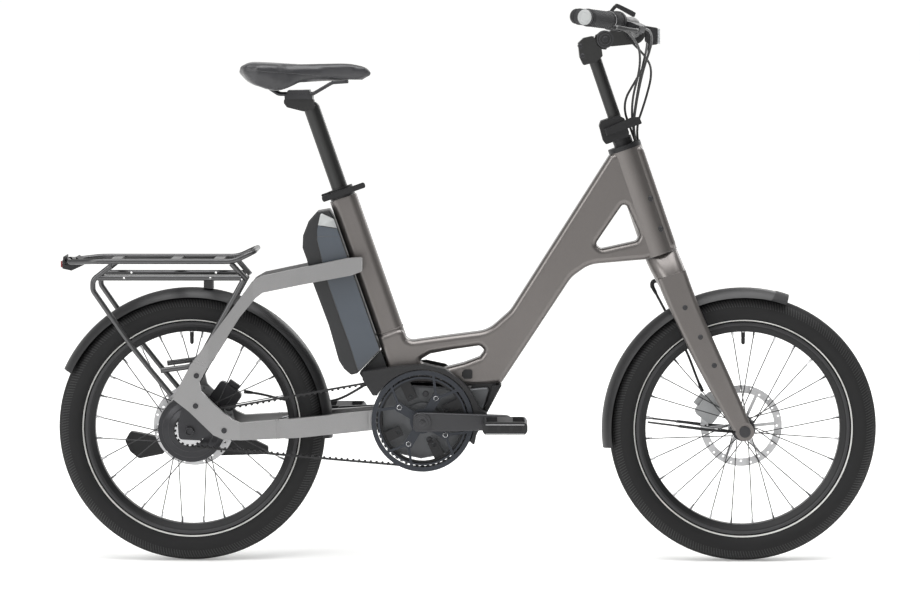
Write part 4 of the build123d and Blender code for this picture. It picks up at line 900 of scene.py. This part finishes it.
def makeNipples(end, centre):
    nut = lathe([(0, -1 * mm), (2.3 * mm, -1 * mm), (2.3 * mm, 6 * mm), (1.7 * mm, 8 * mm), (1.3 * mm, 13 * mm),
                 (0, 13 * mm)], Matrix.Rotation(math.pi, 4, "X"), 10)
    step = 2 * math.pi / 28
    line = [Vector(centre) + Vector((math.sin(step * (k + 0.5)), 0, math.cos(step * (k + 0.5)))) * 0.1905
            for k in range(28)]
    repeatAlong(end + "_nipples", line, nut, 28, materials["steel"], end + "_wheel", centre=centre)


def makeRimBand(end, centre):
    # the rim's flat flanks with their two turned steps
    bands = []
    for sign in (-1, 1):
        rings = [(208.6, 15.0), (208.6, 15.5), (206.5, 15.9), (204.0, 15.9), (203.4, 15.4), (199.0, 13.6),
                 (196.0, 12.2), (192.6, 10.4), (191.6, 9.2), (191.6, 8.0), (200.0, 10.0)]
        bands.append(lathe([(r * mm, sign * a * mm) for r, a in rings], wheelPlace(centre), 144, closed=True))
    makePiece(end + "_rim_flank", *joined(*bands), materials["rim"], end + "_wheel", "black_metal", smooth=25)


def makeValve(end, centre):
    place = placeAt(centre, (0, 0, 1), (1, 0, 0))
    cap = [(0, 164), (1.6, 164), (3.6, 166.5), (3.9, 174), (3.5, 177.5), (2.2, 178.5), (0, 178.5)]
    stem = [(0, 178), (3.3, 178), (3.3, 188), (4.6, 188.4), (4.6, 190.4), (0, 190.4)]
    makePiece(end + "_valve_stem", *lathe([(r * mm, a * mm) for r, a in stem], place, 20), materials["bright"],
              end + "_wheel", "bare_steel")
    makePiece(end + "_valve_cap", *lathe([(r * mm, a * mm) for r, a in cap], place, 20), materials["foot"],
              end + "_wheel", "tyre_rubber")


for end, centre in (("front", frontWheel), ("rear", rearWheel)):
    makeTyre(end, centre)
    makeNipples(end, centre)
    makeRimBand(end, centre)
    makeValve(end, centre)
print("wheels made")


# finding places on the CAD pieces

def touch(node, point, way):
    # where a line that comes in against way first meets a CAD piece near point
    way = Vector(way).normalized()
    hit, place, normal, index = frame["nodes"][node].ray_cast(Vector(point) + way * 0.25, -way, distance=0.5)
    return place if hit else None


def touching(node, points, way):
    found = [touch(node, point, way) for point in points]
    return [(place, way) for place in found if place]


def sidePoints(pairs):
    return [Vector((x * mm, 0, z * mm)) for x, z in pairs]


def coverOver(node, planes, thickness):
    # a thin layer over the part of a CAD piece that lies on the positive side of every plane
    work = bmesh.new()
    work.from_mesh(frame["nodes"][node].data)
    bmesh.ops.remove_doubles(work, verts=work.verts, dist=1e-6)
    for point, normal in planes:
        cutAcross(work, point, normal, clear_inner=True)
    bmesh.ops.recalc_face_normals(work, faces=work.faces)
    for vert in work.verts:
        vert.co += vert.normal * thickness
    bmesh.ops.solidify(work, geom=work.faces[:], thickness=thickness)
    mesh = bpy.data.meshes.new("cover")
    work.to_mesh(mesh)
    work.free()
    pointOut(mesh)
    return mesh


def paintWhere(node, material, test):
    # another finish on the faces of a CAD piece that lie in one place
    mesh = frame["nodes"][node].data
    mesh.materials.append(material)
    number = len(mesh.materials) - 1
    for face in mesh.polygons:
        if test(face.center, face.normal):
            face.material_index = number


def ringOn(centre, side, along, inner, outer, height):
    # a flat ring about an axle, raised by height towards side
    place = placeAt(Vector(centre) + across * side * along, across * side, (0, 0, 1))
    edge = min(height * 0.5, (outer - inner) * 0.25)
    return lathe([(inner, -0.0006), (outer, -0.0006), (outer, height - edge), (outer - edge, height),
                  (inner + edge, height), (inner, height - edge)], place, 72, closed=True)


# toothed belt

beltShape = {"front": 91.04, "rear": 31.51, "across": -52, "width": 11, "outer": 1.6, "inner": 1.4, "tooth": 2.6,
             "toothWide": 5.2, "teeth": 40}


def makeBelt():
    b = beltShape
    span = crankSpot - rearWheel
    lean = math.atan2(span.z, span.x)
    drop = math.asin((b["front"] - b["rear"]) * mm / span.length)
    middle = Vector((0, b["across"] * mm, 0))

    def onPulley(centre, reach, angle):
        return centre + middle + Vector((math.cos(angle), 0, math.sin(angle))) * reach * mm

    high, low = lean + math.pi / 2 + drop, lean - math.pi / 2 - drop
    line, runs = [], []
    for reachOff in (b["outer"], -b["inner"]):
        front = [onPulley(crankSpot, b["front"] + reachOff, low + (high - low) * k / 96) for k in range(97)]
        behind = 2 * math.pi - high + low
        back = [onPulley(rearWheel, b["rear"] + reachOff, high + behind * k / 48) for k in range(49)]
        line.append(front + back)
        runs.append(((front[-1], back[0]), (back[-1], front[0])))
    half = b["width"] / 2 * mm
    verts, rows = [], []
    for index in range(len(line[0])):
        outer, inner = line[0][index], line[1][index]
        rows.append(list(range(len(verts), len(verts) + 6)))
        crown = (outer - inner).normalized() * 0.5 * mm
        for point, side in ((outer - crown, -half), (outer, -half + 0.0006), (outer, half - 0.0006),
                            (outer - crown, half), (inner, half), (inner, -half)):
            verts.append(point + Vector((0, side, 0)))
    makePiece("drive_belt", verts, skin(rows, True), materials["belt"], "frame", "tyre_rubber", ["belt"], smooth=40)
    tooth = []
    for side in (-half, half):
        for x, z in ((-b["toothWide"] / 2, 0.2), (b["toothWide"] / 2, 0.2), (b["toothWide"] * 0.32, -b["tooth"]),
                     (-b["toothWide"] * 0.32, -b["tooth"])):
            tooth.append(Vector((x * mm, side * 0.96, z * mm)))
    faces = [(0, 1, 2, 3), (7, 6, 5, 4), (0, 4, 5, 1), (1, 5, 6, 2), (2, 6, 7, 3), (3, 7, 4, 0)]
    upAxis = Vector((-math.sin(lean), 0, math.cos(lean)))
    for name, (start, end), up in (("belt_teeth_top", runs[1][0], upAxis), ("belt_teeth_low", runs[1][1], -upAxis)):
        inset = (end - start) * 0.03
        repeatAlong(name, [start + inset, end - inset], (tooth, faces), b["teeth"] - 2, materials["belt"], "frame",
                    closed=False, up=up)


makeBelt()
print("belt made")


# cables and hoses

cordLook = {"reach": 0.0023, "hoseReach": 0.0025, "bendFrom": (0.33, 0, 0.90), "bendTo": (0.33, 0, 1.03)}

cordRoutes = {
    "right_brake": ([(329.8, -166.9, 1042.7), (344.4, -141.2, 1040.8), (354, -100, 1028), (354, -58, 1006),
                     (340, -24, 960), (328, -16, 900), (320, -12, 834.1), (340.2, -12, 775.4)], 0.3668),
    "left_brake": ([(329.8, 166.9, 1042.7), (344.4, 141.2, 1040.8), (352, 98, 1030), (352, 54, 1006), (340, 18, 964),
                    (328, 12, 899), (320, 12, 834.1), (340.2, 12, 775.4)], 0.3715),
    "shifter": ([(289.2, -177.2, 1040.8), (302.3, -154.1, 1039.1), (318, -114, 1022), (332, -70, 1002),
                 (334, -30, 962), (318, -10, 898.5), (322.3, -6, 834.9), (342.5, -6, 776.2)], 0.371),
    "lamp": ([(354, 4, 1007.5), (352, 5, 984), (330, 9, 944), (300, 8, 893), (322.3, 6, 834.9),
              (342.5, 6, 776.2)], 0.249),
    "display": ([(289.2, 177.2, 1040.8), (302.3, 154.1, 1039.1), (322, 112, 1014), (346, 70, 990), (362, 26, 960),
                 (346, 0, 900), (323.2, 0, 835.2), (343.4, 0, 776.6)], 0.3811),
}

hoseRoutes = {
    "rear_hose": ([(-440, 47, 326), (-408, 50, 322), (-364, 52, 309), (-308, 49, 304), (-262, 43, 308),
                   (-228, 37, 324), (-193.4, 37, 346.2)], 0.2595, "frame", "rear_brake_hose"),
    "front_hose": ([(463, 50, 328), (451, 56, 356), (436, 62, 398), (412, 66, 446), (386, 66, 492), (366, 60, 530)],
                   0.2259, "fork", "front_brake_hose"),
}


def ferrule(name, line, reach, length, body):
    # a tapered boot over a cord's end
    way = (line[2] - line[0]).normalized()
    profile = [(0, -0.001), (reach * 1.45, -0.001), (reach * 1.5, 0.003), (reach * 1.4, 0.0035), (reach * 1.4, 0.005),
               (reach * 1.5, 0.0055), (reach * 1.3, length * 0.8), (reach * 1.12, length), (0, length)]
    return makePiece(name, *lathe(profile, placeAt(line[0], way), 18), materials["foot"], body, "cable_black")


for name, (route, length) in cordRoutes.items():
    line = splineLine([Vector(p) * mm for p in route], 12)
    cord = makePiece(name + "_cable", *tube(line, cordLook["reach"]), materials["cable"], smooth=60)
    boot = ferrule(name + "_cable_boot", line, cordLook["reach"], 0.014, "bar")
    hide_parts("control_cables")
    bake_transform(cord)

for name, (route, length, body, node) in hoseRoutes.items():
    line = splineLine([Vector(p) * mm for p in route], 12)
    hose = makePiece(name, *tube(line, cordLook["hoseReach"]), materials["cable"], body, "cable_black", [node],
                     smooth=60)
    boots = [ferrule(name + "_boot_a", line, cordLook["hoseReach"], 0.016, body),
             ferrule(name + "_boot_b", line[::-1], cordLook["hoseReach"], 0.012, body)]
print("cables made")


# saddle

saddleShape = {"voxel": 0.0045, "shrink": 0.0012, "cap": 0.005, "fixedShare": 0.35, "stitch": 0.0042,
               "seamDrop": 0.62, "stretch": 1.035, "wingX": -0.356, "wingLong": 0.036, "wingDrop": 0.015,
               "wingFrom": (0.018, 0.03), "wingBelow": (0.966, 0.02), "noseDrop": 0.007,
               "noseFrom": (-0.235, 0.03), "noseBelow": (0.952, 0.012), "frames": 20}
clothLook = {"quality": 6, "mass": 0.2, "tension_stiffness": 12, "compression_stiffness": 12,
             "shear_stiffness": 6, "bending_stiffness": 1.0, "use_pressure": True, "uniform_pressure_force": 4.0}


def movedPoints(thing):
    mesh = evaluated(thing)
    spots = np.empty(len(mesh.vertices) * 3)
    mesh.vertices.foreach_get("co", spots)
    bpy.data.meshes.remove(mesh)
    return spots.reshape(-1, 3)


def withModifier(thing, kind, **settings):
    # the plain mesh that one modifier makes
    modifier = thing.modifiers.new(kind.lower(), kind)
    for key, value in settings.items():
        setattr(modifier, key, value)
    mesh = evaluated(thing)
    thing.modifiers.remove(modifier)
    return mesh


def swell(thing):
    # cloth pressure for a few frames, as the points before and after
    cloth = thing.modifiers.new("swell", "CLOTH")
    for key, value in clothLook.items():
        setattr(cloth.settings, key, value)
    cloth.settings.effector_weights.gravity = 0
    before = movedPoints(thing)
    for number in range(1, saddleShape["frames"] + 1):
        scene.frame_set(number)
        bpy.context.view_layer.update()
    after = movedPoints(thing)
    thing.modifiers.remove(cloth)
    scene.frame_set(1)
    return before, after


def rising(values, start, band):
    return np.clip((values - start) / band, 0.0, 1.0)


def falling(values, top, band):
    return np.clip((top - values) / band, 0.0, 1.0)


def makeSaddle():
    look = saddleShape
    work = bmesh.new()
    for node in ("saddle_cover", "saddle_base"):
        work.from_mesh(frame["nodes"][node].data)
    mesh = bpy.data.meshes.new("saddle_start")
    work.to_mesh(mesh)
    work.free()
    pointOut(mesh)
    for vert in mesh.vertices:
        vert.co -= vert.normal * look["shrink"]
    start = addObject("saddle_start", mesh)
    skinMesh = withModifier(start, "REMESH", mode="VOXEL", voxel_size=look["voxel"])
    bpy.data.objects.remove(start)
    pad = addObject("saddle_pad", skinMesh)
    before = movedPoints(pad)
    wing = np.exp(-((before[:, 0] - look["wingX"]) / look["wingLong"]) ** 2)
    wing *= rising(np.abs(before[:, 1]), *look["wingFrom"]) * falling(before[:, 2], *look["wingBelow"])
    before[:, 2] -= wing * look["wingDrop"]
    nose = rising(before[:, 0], *look["noseFrom"]) * falling(before[:, 2], *look["noseBelow"])
    before[:, 2] -= nose * look["noseDrop"]
    middle = (before[:, :2].min(axis=0) + before[:, :2].max(axis=0)) / 2
    before[:, :2] = middle + (before[:, :2] - middle) * look["stretch"]
    pad.data.vertices.foreach_set("co", before.ravel())
    pad.data.update()
    low, high = before[:, 2].min(), before[:, 2].max()
    before, after = swell(pad)
    step = after - before
    length = np.linalg.norm(step, axis=1, keepdims=True)
    step *= np.minimum(1.0, look["cap"] / np.maximum(length, 1e-9))
    step *= rising(before[:, 2:3], low, look["fixedShare"] * (high - low))
    pad.data.vertices.foreach_set("co", (before + step).ravel())
    pad.data.update()
    smoother = withModifier(pad, "SMOOTH", factor=0.5, iterations=6)
    pad.data = smoother
    finer = withModifier(pad, "SUBSURF", levels=1, render_levels=1)
    bpy.data.objects.remove(pad)
    pointOut(finer)
    cover = dress("saddle_pad", finer, materials["vinyl"], "seat", ["saddle_cover", "saddle_base"],
                  smooth=80)
    return cover


def saddleSeam(cover):
    # a piped seam and its stitches round the pad, a little above the base
    look = saddleShape
    spots = [v.co for v in cover.data.vertices]
    low, high = min(p.z for p in spots), max(p.z for p in spots)
    work = bmesh.new()
    work.from_mesh(cover.data)
    tilt = Vector((0.09, 0, 1)).normalized()
    middle = sum(spots, Vector()) / len(spots)
    level = Vector((middle.x, 0, low + (high - low) * look["seamDrop"]))
    cut = cutAcross(work, level, tilt)
    ring = [v.co.copy() for v in cut if isinstance(v, bmesh.types.BMVert)]
    work.free()
    ring.sort(key=lambda p: math.atan2(p.y, p.x - middle.x))
    ring = [sum((ring[(k + j) % len(ring)] for j in range(-4, 5)), Vector()) / 9 for k in range(0, len(ring), 3)]
    out = [(p - Vector((middle.x, 0, p.z))).normalized() for p in ring]
    line = [p + way * 0.0002 for p, way in zip(ring, out)]
    makePiece("saddle_seam", *tube(line, 0.0008, 8, closed=True), materials["vinyl"], "seat", "saddle_vinyl", smooth=60)
    length = roundLength(line)
    thread = lathe([(0, -0.0013), (0.00032, -0.0011), (0.0004, 0), (0.00032, 0.0011), (0, 0.0013)],
                   Matrix.Rotation(math.pi / 2, 4, "Y"), 8)
    above = [p + Vector((0, 0, 0.0024)) - way * 0.0001 for p, way in zip(ring, out)]
    repeatAlong("saddle_stitches", above, thread, int(length / look["stitch"]), materials["thread"], "seat",
                centre=middle, seed=7)


saddleSeam(makeSaddle())
print("saddle made")


# grips, shifter and bar ends

gripShape = {"reach": 0.016, "right": (0.008, 0.088), "left": (0.008, 0.124), "rows": 16, "round": 26,
             "ribs": 36, "shifter": (0.094, 0.119), "shifterReach": 0.018}

barEnds = {"right": (Vector((0.222, -0.305, 1.063)), lineOf("twist_grip")),
           "left": (Vector((0.222, 0.305, 1.063)), lineOf("twist_grip") * Vector((1, -1, 1)))}


def makeGrips():
    look = gripShape
    bump = lathe([(0, -0.0004), (0.0015, -0.0004), (0.0014, 0.0002), (0.0008, 0.0005), (0, 0.00055)],
                 Matrix.Identity(4), 8)
    for hand, (end, way) in barEnds.items():
        near, far = look[hand]
        place = placeAt(end, way, (0, 0, 1))
        spots = []
        rows = int(look["rows"] * (far - near) / 0.08)
        for row in range(rows):
            along = near + 0.006 + (far - near - 0.012) * row / (rows - 1)
            for step in range(look["round"]):
                turn = 2 * math.pi * (step + 0.5 * (row % 2)) / look["round"]
                out = Vector((math.cos(turn), math.sin(turn), 0))
                spots.append((place @ (out * look["reach"] + Vector((0, 0, along))), place.to_3x3() @ out))
        putOn(hand + "_grip_pattern", spots, bump, materials["grip"], "bar")
        rings = [lathe([(0.0155, a), (0.0166, a), (0.0168, a + 0.0008), (0.0166, a + 0.0016), (0.0155, a + 0.0016)],
                       place, 40, closed=True) for a in (near - 0.003, near + 0.0005, far, far - 0.0035)]
        makePiece(hand + "_grip_rings", *joined(*rings), materials["grip"], "bar", "grip_rubber")
        collar = lathe([(0.0155, far + 0.0016), (0.0169, far + 0.0016), (0.0172, far + 0.0026), (0.0169, far + 0.0036),
                        (0.0155, far + 0.0036)], place, 48, closed=True)
        makePiece(hand + "_grip_collar", *collar, materials["steel"], "bar", "bare_steel")
        plug = lathe([(0, -0.0062), (0.0085, -0.0062), (0.0092, -0.0068), (0.0138, -0.0066), (0.0146, -0.006),
                      (0.0146, -0.004), (0, -0.004)], place, 40)
        makePiece(hand + "_bar_plug", *plug, materials["panelTop"], "bar", "grip_rubber")
    end, way = barEnds["right"]
    low, high = look["shifter"]
    middle = end + way * (low + high) / 2
    half = (high - low) / 2
    rib = []
    for x, z in ((-0.0008, -0.0005), (0.0008, -0.0005), (0.0005, 0.0006), (-0.0005, 0.0006)):
        rib += [Vector((x, -half, z)), Vector((x, half, z))]
    faces = [(0, 2, 4, 6), (1, 7, 5, 3), (0, 1, 3, 2), (2, 3, 5, 4), (4, 5, 7, 6), (6, 7, 1, 0)]
    repeatAlong("shifter_ribs", circleLine(middle, look["shifterReach"], way, 72), (rib, faces), look["ribs"],
                materials["grip"], "twist_shifter", centre=middle)


makeGrips()
print("grips made")


# screws, bolts and rings

left, right = Vector((0, 1, 0)), Vector((0, -1, 0))

screwSets = {
    "head_screws": ("front_frame", "frame", [(355, 712), (375, 653)], 5.0, "bolt", "black_metal"),
    "fork_screws": ("fork", "fork", [(422, 502), (452, 445), (479, 390)], 4.2, "bolt", "black_metal"),
    "mast_head_bolts": ("stem_head", "mast", [(219, 1007), (223, 988)], 3.8, "bolt", "black_metal"),
    "motor_bolts": ("motor_unit", "frame", [(-81, 331), (-74, 241)], 5.2, "bolt", "black_metal"),
    "dropout_caps": ("axle_hardware", "frame", [(-524, 371), (-526, 312), (-471, 264)], 4.4, "bolt",
                     "black_metal"),
    "rack_bolts": ("rack", "frame", [(-677, 503), (-668, 495)], 3.0, "steel", "bare_steel"),
}


def makeScrews():
    for name, (node, body, pairs, reach, finish, slot) in screwSets.items():
        spots = []
        for way in (left, right):
            spots += touching(node, sidePoints(pairs), way)
        if not spots:
            print("nothing under", name)
            continue
        putOn(name, spots, socketHead(reach * mm, reach * 0.34 * mm), materials[finish], body)
        putOn(name + "_rims", spots, washer((reach + 0.9) * mm, (reach - 0.4) * mm, 0.6 * mm), materials["crank"], body)


driveShape = {"turn": -34, "boltTurn": -59, "boltReach": 0.052}


def makeDriveRings():
    # the spider shows turned on from the CAD one, so its arms don't stand over the collision shape's
    look = driveShape
    turned = Matrix.Rotation(math.radians(look["turn"]), 4, "Y")
    turned = Matrix.Translation(crankSpot) @ turned @ Matrix.Translation(-crankSpot)
    mesh = frame["nodes"]["crank_spider"].data.copy()
    mesh.transform(turned)
    spider = dress("chainring_spider", mesh, materials["guard"], "crankset", ["crank_spider"], 35)
    bpy.context.view_layer.update()
    spots = []
    for number in range(4):
        turn = math.radians(look["boltTurn"] + 90 * number)
        spots.append(crankSpot + Vector((math.sin(turn), 0, math.cos(turn))) * look["boltReach"])
    found = []
    for point in spots:
        hit, place, normal, index = spider.ray_cast(point + right * 0.25, left, distance=0.5)
        if hit:
            found.append((place, right))
    putOn("chainring_bolts", found, socketHead(0.0036, 0.0012), materials["bolt"], "crankset")
    putOn("chainring_bolt_rims", found, washer(0.0048, 0.0034, 0.0009), materials["bright"], "crankset")
    for way, name in ((right, "right"), (left, "left")):
        boss = touch("crank_arms", crankSpot, way)
        putOn("crank_cap_" + name, [(boss, way)], socketHead(0.0072, 0.0016), materials["bolt"], "crankset")
        putOn("crank_cap_rim_" + name, [(boss, way)], washer(0.0125, 0.0072, 0.0010), materials["crank"], "crankset")
    for name, pedal, way in (("right", spot("pedal_right_spin"), right), ("left", spot("pedal_left_spin"), left)):
        place = touch("crank_arms", pedal, way)
        if place:
            putOn("pedal_axle_" + name, [(place, way)], socketHead(0.0062, 0.0010), materials["steel"], "crankset")


def makeHubRings():
    for name, node, centre, body, reaches in (
            ("rear", "rear_hub", rearWheel, "rear_wheel", (0.030, 0.044, 0.056)),
            ("front", "front_hub", frontWheel, "front_wheel", (0.014, 0.021))):
        shapes = []
        for side in (1, -1):
            for reach in reaches:
                beside = Vector(centre) - Vector((1, 0, 1)) * reach * 0.7071
                place = touch(node, beside, Vector((0, side, 0)))
                if place:
                    shapes.append(ringOn(centre, side, abs(place.y), reach - 0.0012, reach + 0.0012, 0.0007))
        if shapes:
            makePiece(name + "_hub_rings", *joined(*shapes), materials["crank"], body, "grey_metal")
        rotorNode = name + "_rotor"
        spots = [Vector(centre) + Vector((math.cos(k * math.pi / 3 + 0.3), 0, math.sin(k * math.pi / 3 + 0.3))) * 0.022
                 for k in range(6)]
        found = touching(rotorNode, spots, left)
        if found:
            putOn(name + "_rotor_bolts", found, socketHead(0.0042, 0.0022), materials["bolt"], body)


def makeTiltRings():
    centre = spot("stem_angle")
    for way, name in ((right, "right"), (left, "left")):
        places = [touch(node, centre, way) for node in ("bar_clamp", "stem_head")]
        place = max((p for p in places if p), key=lambda p: p.dot(way))
        for number, (outer, inner) in enumerate(((0.0165, 0.0140), (0.0115, 0.0095))):
            putOn("tilt_ring_%s_%d" % (name, number), [(place, way)], washer(outer, inner, 0.0009), materials["crank"],
                  "bar")
        putOn("tilt_bolt_" + name, [(place, way)], socketHead(0.0055, 0.0018), materials["bolt"], "bar")


def makePedalCages():
    # bright rails, and dark plates of painted shade in place of the open windows, on the two long sides of each pedal
    for hand in ("right", "left"):
        node = "pedal_" + hand
        (x0, y0, z0), (x1, y1, z1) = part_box(node)
        rails, shade_windows = [], []
        for y, way in ((y0, right), (y1, left)):
            face = touch(node, Vector(((x0 + x1) / 2, 0, z0 + (z1 - z0) * 0.35)) + Vector((0, (y0 + y1) / 2, 0)), way)
            level = face.y if face else y
            place = placeAt((0, level, 0), way, (1, 0, 0))
            flip = 1 if way.y < 0 else -1
            for share in (0.22, 0.5, 0.78):
                middle = x0 + (x1 - x0) * share
                outline = [(middle + px, flip * ((z0 + z1) / 2 - 0.001 + pz)) for px, pz in
                           roundedBox((x1 - x0) * 0.2, (z1 - z0) * 0.4, 0.0015)]
                # painted shade: thin dark plates stand where the open cage would show shade
                shade_windows.append(slab(outline, place, 0.0005, 0.0002))
            for z in (z0 + 0.0016, z0 + (z1 - z0) * 0.8):
                line = [Vector((x0 + 0.006 + (x1 - x0 - 0.012) * k / 8, level, z)) for k in range(9)]
                rails.append(tube(line, 0.0009, 8))
        makePiece(node + "_windows", *joined(*shade_windows), materials["black"], node, "dark_plastic")
        makePiece(node + "_rails", *joined(*rails), materials["steel"], node, "grey_metal")


def makePedalPins():
    profile = [(0, -0.001), (0.0017, -0.001), (0.0017, 0.0012), (0.0012, 0.0018), (0, 0.0018)]
    pin = lathe(profile, Matrix.Identity(4), 10)
    for hand in ("right", "left"):
        node = "pedal_" + hand
        (x0, y0, z0), (x1, y1, z1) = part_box(node)
        spots = []
        for side in (1, -1):
            for x in (x0 + 0.006, x1 - 0.006):
                for k in range(5):
                    y = y0 + (y1 - y0) * (0.12 + 0.19 * k)
                    spots += touching(node, [Vector((x, y, (z0 + z1) / 2))], Vector((0, 0, side)))
        putOn(node + "_pins", spots, pin, materials["bolt"], node)


makeScrews()
makeDriveRings()
makeHubRings()
makePedalPins()
makePedalCages()
makeTiltRings()
print("screws made")


# weld beads

weldLines = {
    "stay_weld_upper": ((-512, -80, 390), (0.45, 0, 0.89)),
    "stay_weld_upper_b": ((-509, -80, 395), (0.45, 0, 0.89)),
    "stay_weld_lower": ((-371, -80, 262), (1, 0, 0.05)),
    "stay_weld_lower_b": ((-366, -80, 262), (1, 0, 0.05)),
    "stay_weld_front": ((-204, -24, 586), (1, 0, 0)),
}


def beadShape(long, wide, high):
    ball = lathe([(0, -1), (0.5, -0.866), (0.866, -0.5), (1, 0), (0.866, 0.5), (0.5, 0.866), (0, 1)],
                 Matrix.Identity(4), 8)
    return [Vector((p.x * long, p.y * wide, p.z * high)) for p in ball[0]], ball[1]


def makeWelds():
    bead = beadShape(0.0011, 0.0013, 0.0005)
    for name, (point, normal) in weldLines.items():
        for side in (-1, 1):
            target = Vector((point[0], point[1] * -side, point[2])) * mm
            loop = nearestLoop("rear_stays", target, Vector(normal).normalized())
            middle = sum(loop, Vector()) / len(loop)
            repeatAlong(name + ("_left" if side < 0 else "_right"), loop, bead, int(roundLength(loop) / 0.0013),
                        materials["silver"], "frame", centre=middle, spread=0.15, seed=11)
    loop = nearestLoop("seat_tube", seatPoint(0, 0, -0.2745), seatUp)
    repeatAlong("seat_tube_weld", loop, beadShape(0.0017, 0.0022, 0.0009), int(roundLength(loop) / 0.0019),
                materials["taupe"], "frame", centre=seatPoint(0, 0, -0.262), spread=0.15, seed=12)


makeWelds()
print("welds made")


# lamps and display

lampShape = {"lensFrom": 0.3682, "tailFrom": -0.7885, "bezelLevel": 1.026, "bezelNear": 0.36835,
             "bezelFar": 0.37265, "bezelWide": 1.02, "bezelNarrow": 0.93}


def makeLamps():
    look = lampShape
    paintWhere("headlight", materials["lens"], lambda c, n: c.x > look["lensFrom"])
    paintWhere("tail_light", materials["redLens"], lambda c, n: c.x < look["tailFrom"])
    place = placeAt((0.3072, 0, 1.0802), (18, 0, 37), (37, 0, -18))
    screen = slab(roundedBox(0.032, 0.043, 0.004), place, 0.0006, 0.0004)
    makePiece("display_screen", *screen, materials["screen"], "bar", "dark_plastic", smooth=60)
    outline = roundedBox(0.0378, 0.0276, 0.004)
    verts, rows = [], []
    wide, narrow, near, far = (look[key] for key in ("bezelWide", "bezelNarrow", "bezelNear", "bezelFar"))
    for share, x in ((wide, near), (wide, far), (narrow, far), (narrow, near)):
        rows.append(list(range(len(verts), len(verts) + len(outline))))
        verts += [Vector((x, y * share, look["bezelLevel"] + z * share)) for y, z in outline]
    makePiece("headlight_bezel", verts, skin(rows, True), materials["plastic"], "bar", "dark_plastic")


makeLamps()
print("lamps made")


# trim on the fenders, battery and frame

def plane(x, z, nx, nz):
    return Vector((x * mm, 0, z * mm)), Vector((nx, 0, nz)).normalized()


def makeTrim():
    cap = coverOver("front_fender", [plane(603, 530, 26, -19)], 0.0009)
    dress("front_fender_end", cap, materials["foot"], "fork", (), 40)
    route = splineLine([Vector((365, 60, 531)) * mm, Vector((362, 60, 540)) * mm, Vector((370, 59, 547)) * mm,
                        Vector((398, 57, 545)) * mm], 10)
    makePiece("front_hose_port", *tube(route, 0.0042, 14), materials["foot"], "fork", "dark_plastic", smooth=60)
    infill = slab([(8, 352), (58, 354), (50, 336), (28, 292), (8, 288)], Matrix.Identity(4), 4.0, 0.4)
    turn = placeAt((0, -0.018, 0), right, (1, 0, 0)) @ Matrix.Scale(mm, 4)
    makePiece("motor_cover_infill", [turn @ v for v in infill[0]], infill[1], materials["plastic"], "frame",
              "dark_plastic")


def makeBatteryTrim():
    # a light cap on the panels' top end and a fine line round each panel
    top = plane(-269, 657.5, 0.16, 0.99)
    cap = coverOver("battery_panels", [top], 0.0004)
    dress("battery_top_cap", cap, materials["panelTop"], "battery", (), 40)
    (x0, y0, z0), (x1, y1, z1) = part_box("battery_panels")
    middle = Vector(((x0 + x1) / 2, 0, (z0 + z1) / 2))
    lines = []
    for level in (y0 + 0.0004, y1 - 0.0004):
        spotIn = Vector((middle.x, level, middle.z))
        loops = loopsOf("battery_panels", spotIn, across)
        if loops:
            longest = max(loops, key=lambda loop: sum((a - b).length for a, b in zip(loop, loop[1:])))
            lines.append(tube(longest, 0.0007, 8, closed=True))
    if lines:
        makePiece("battery_panel_line", *joined(*lines), materials["rack"], "battery", "battery_panel", smooth=60)
    gap = [touch("battery_panels", Vector((x, 0, 0.66 + (x + 0.2868) * -0.165)), way)
           for way in (right, left) for x in (-0.284, -0.254)]
    for number, (start, end) in enumerate((gap[:2], gap[2:])):
        if start and end:
            line = [start.lerp(end, k / 6) for k in range(7)]
            makePiece("battery_split_%d" % number, *tube(line, 0.0008, 8), materials["black"], "battery",
                      "battery_shell", smooth=60)


makeTrim()
makeBatteryTrim()
print("trim made")


makeCamera()
makeStage()
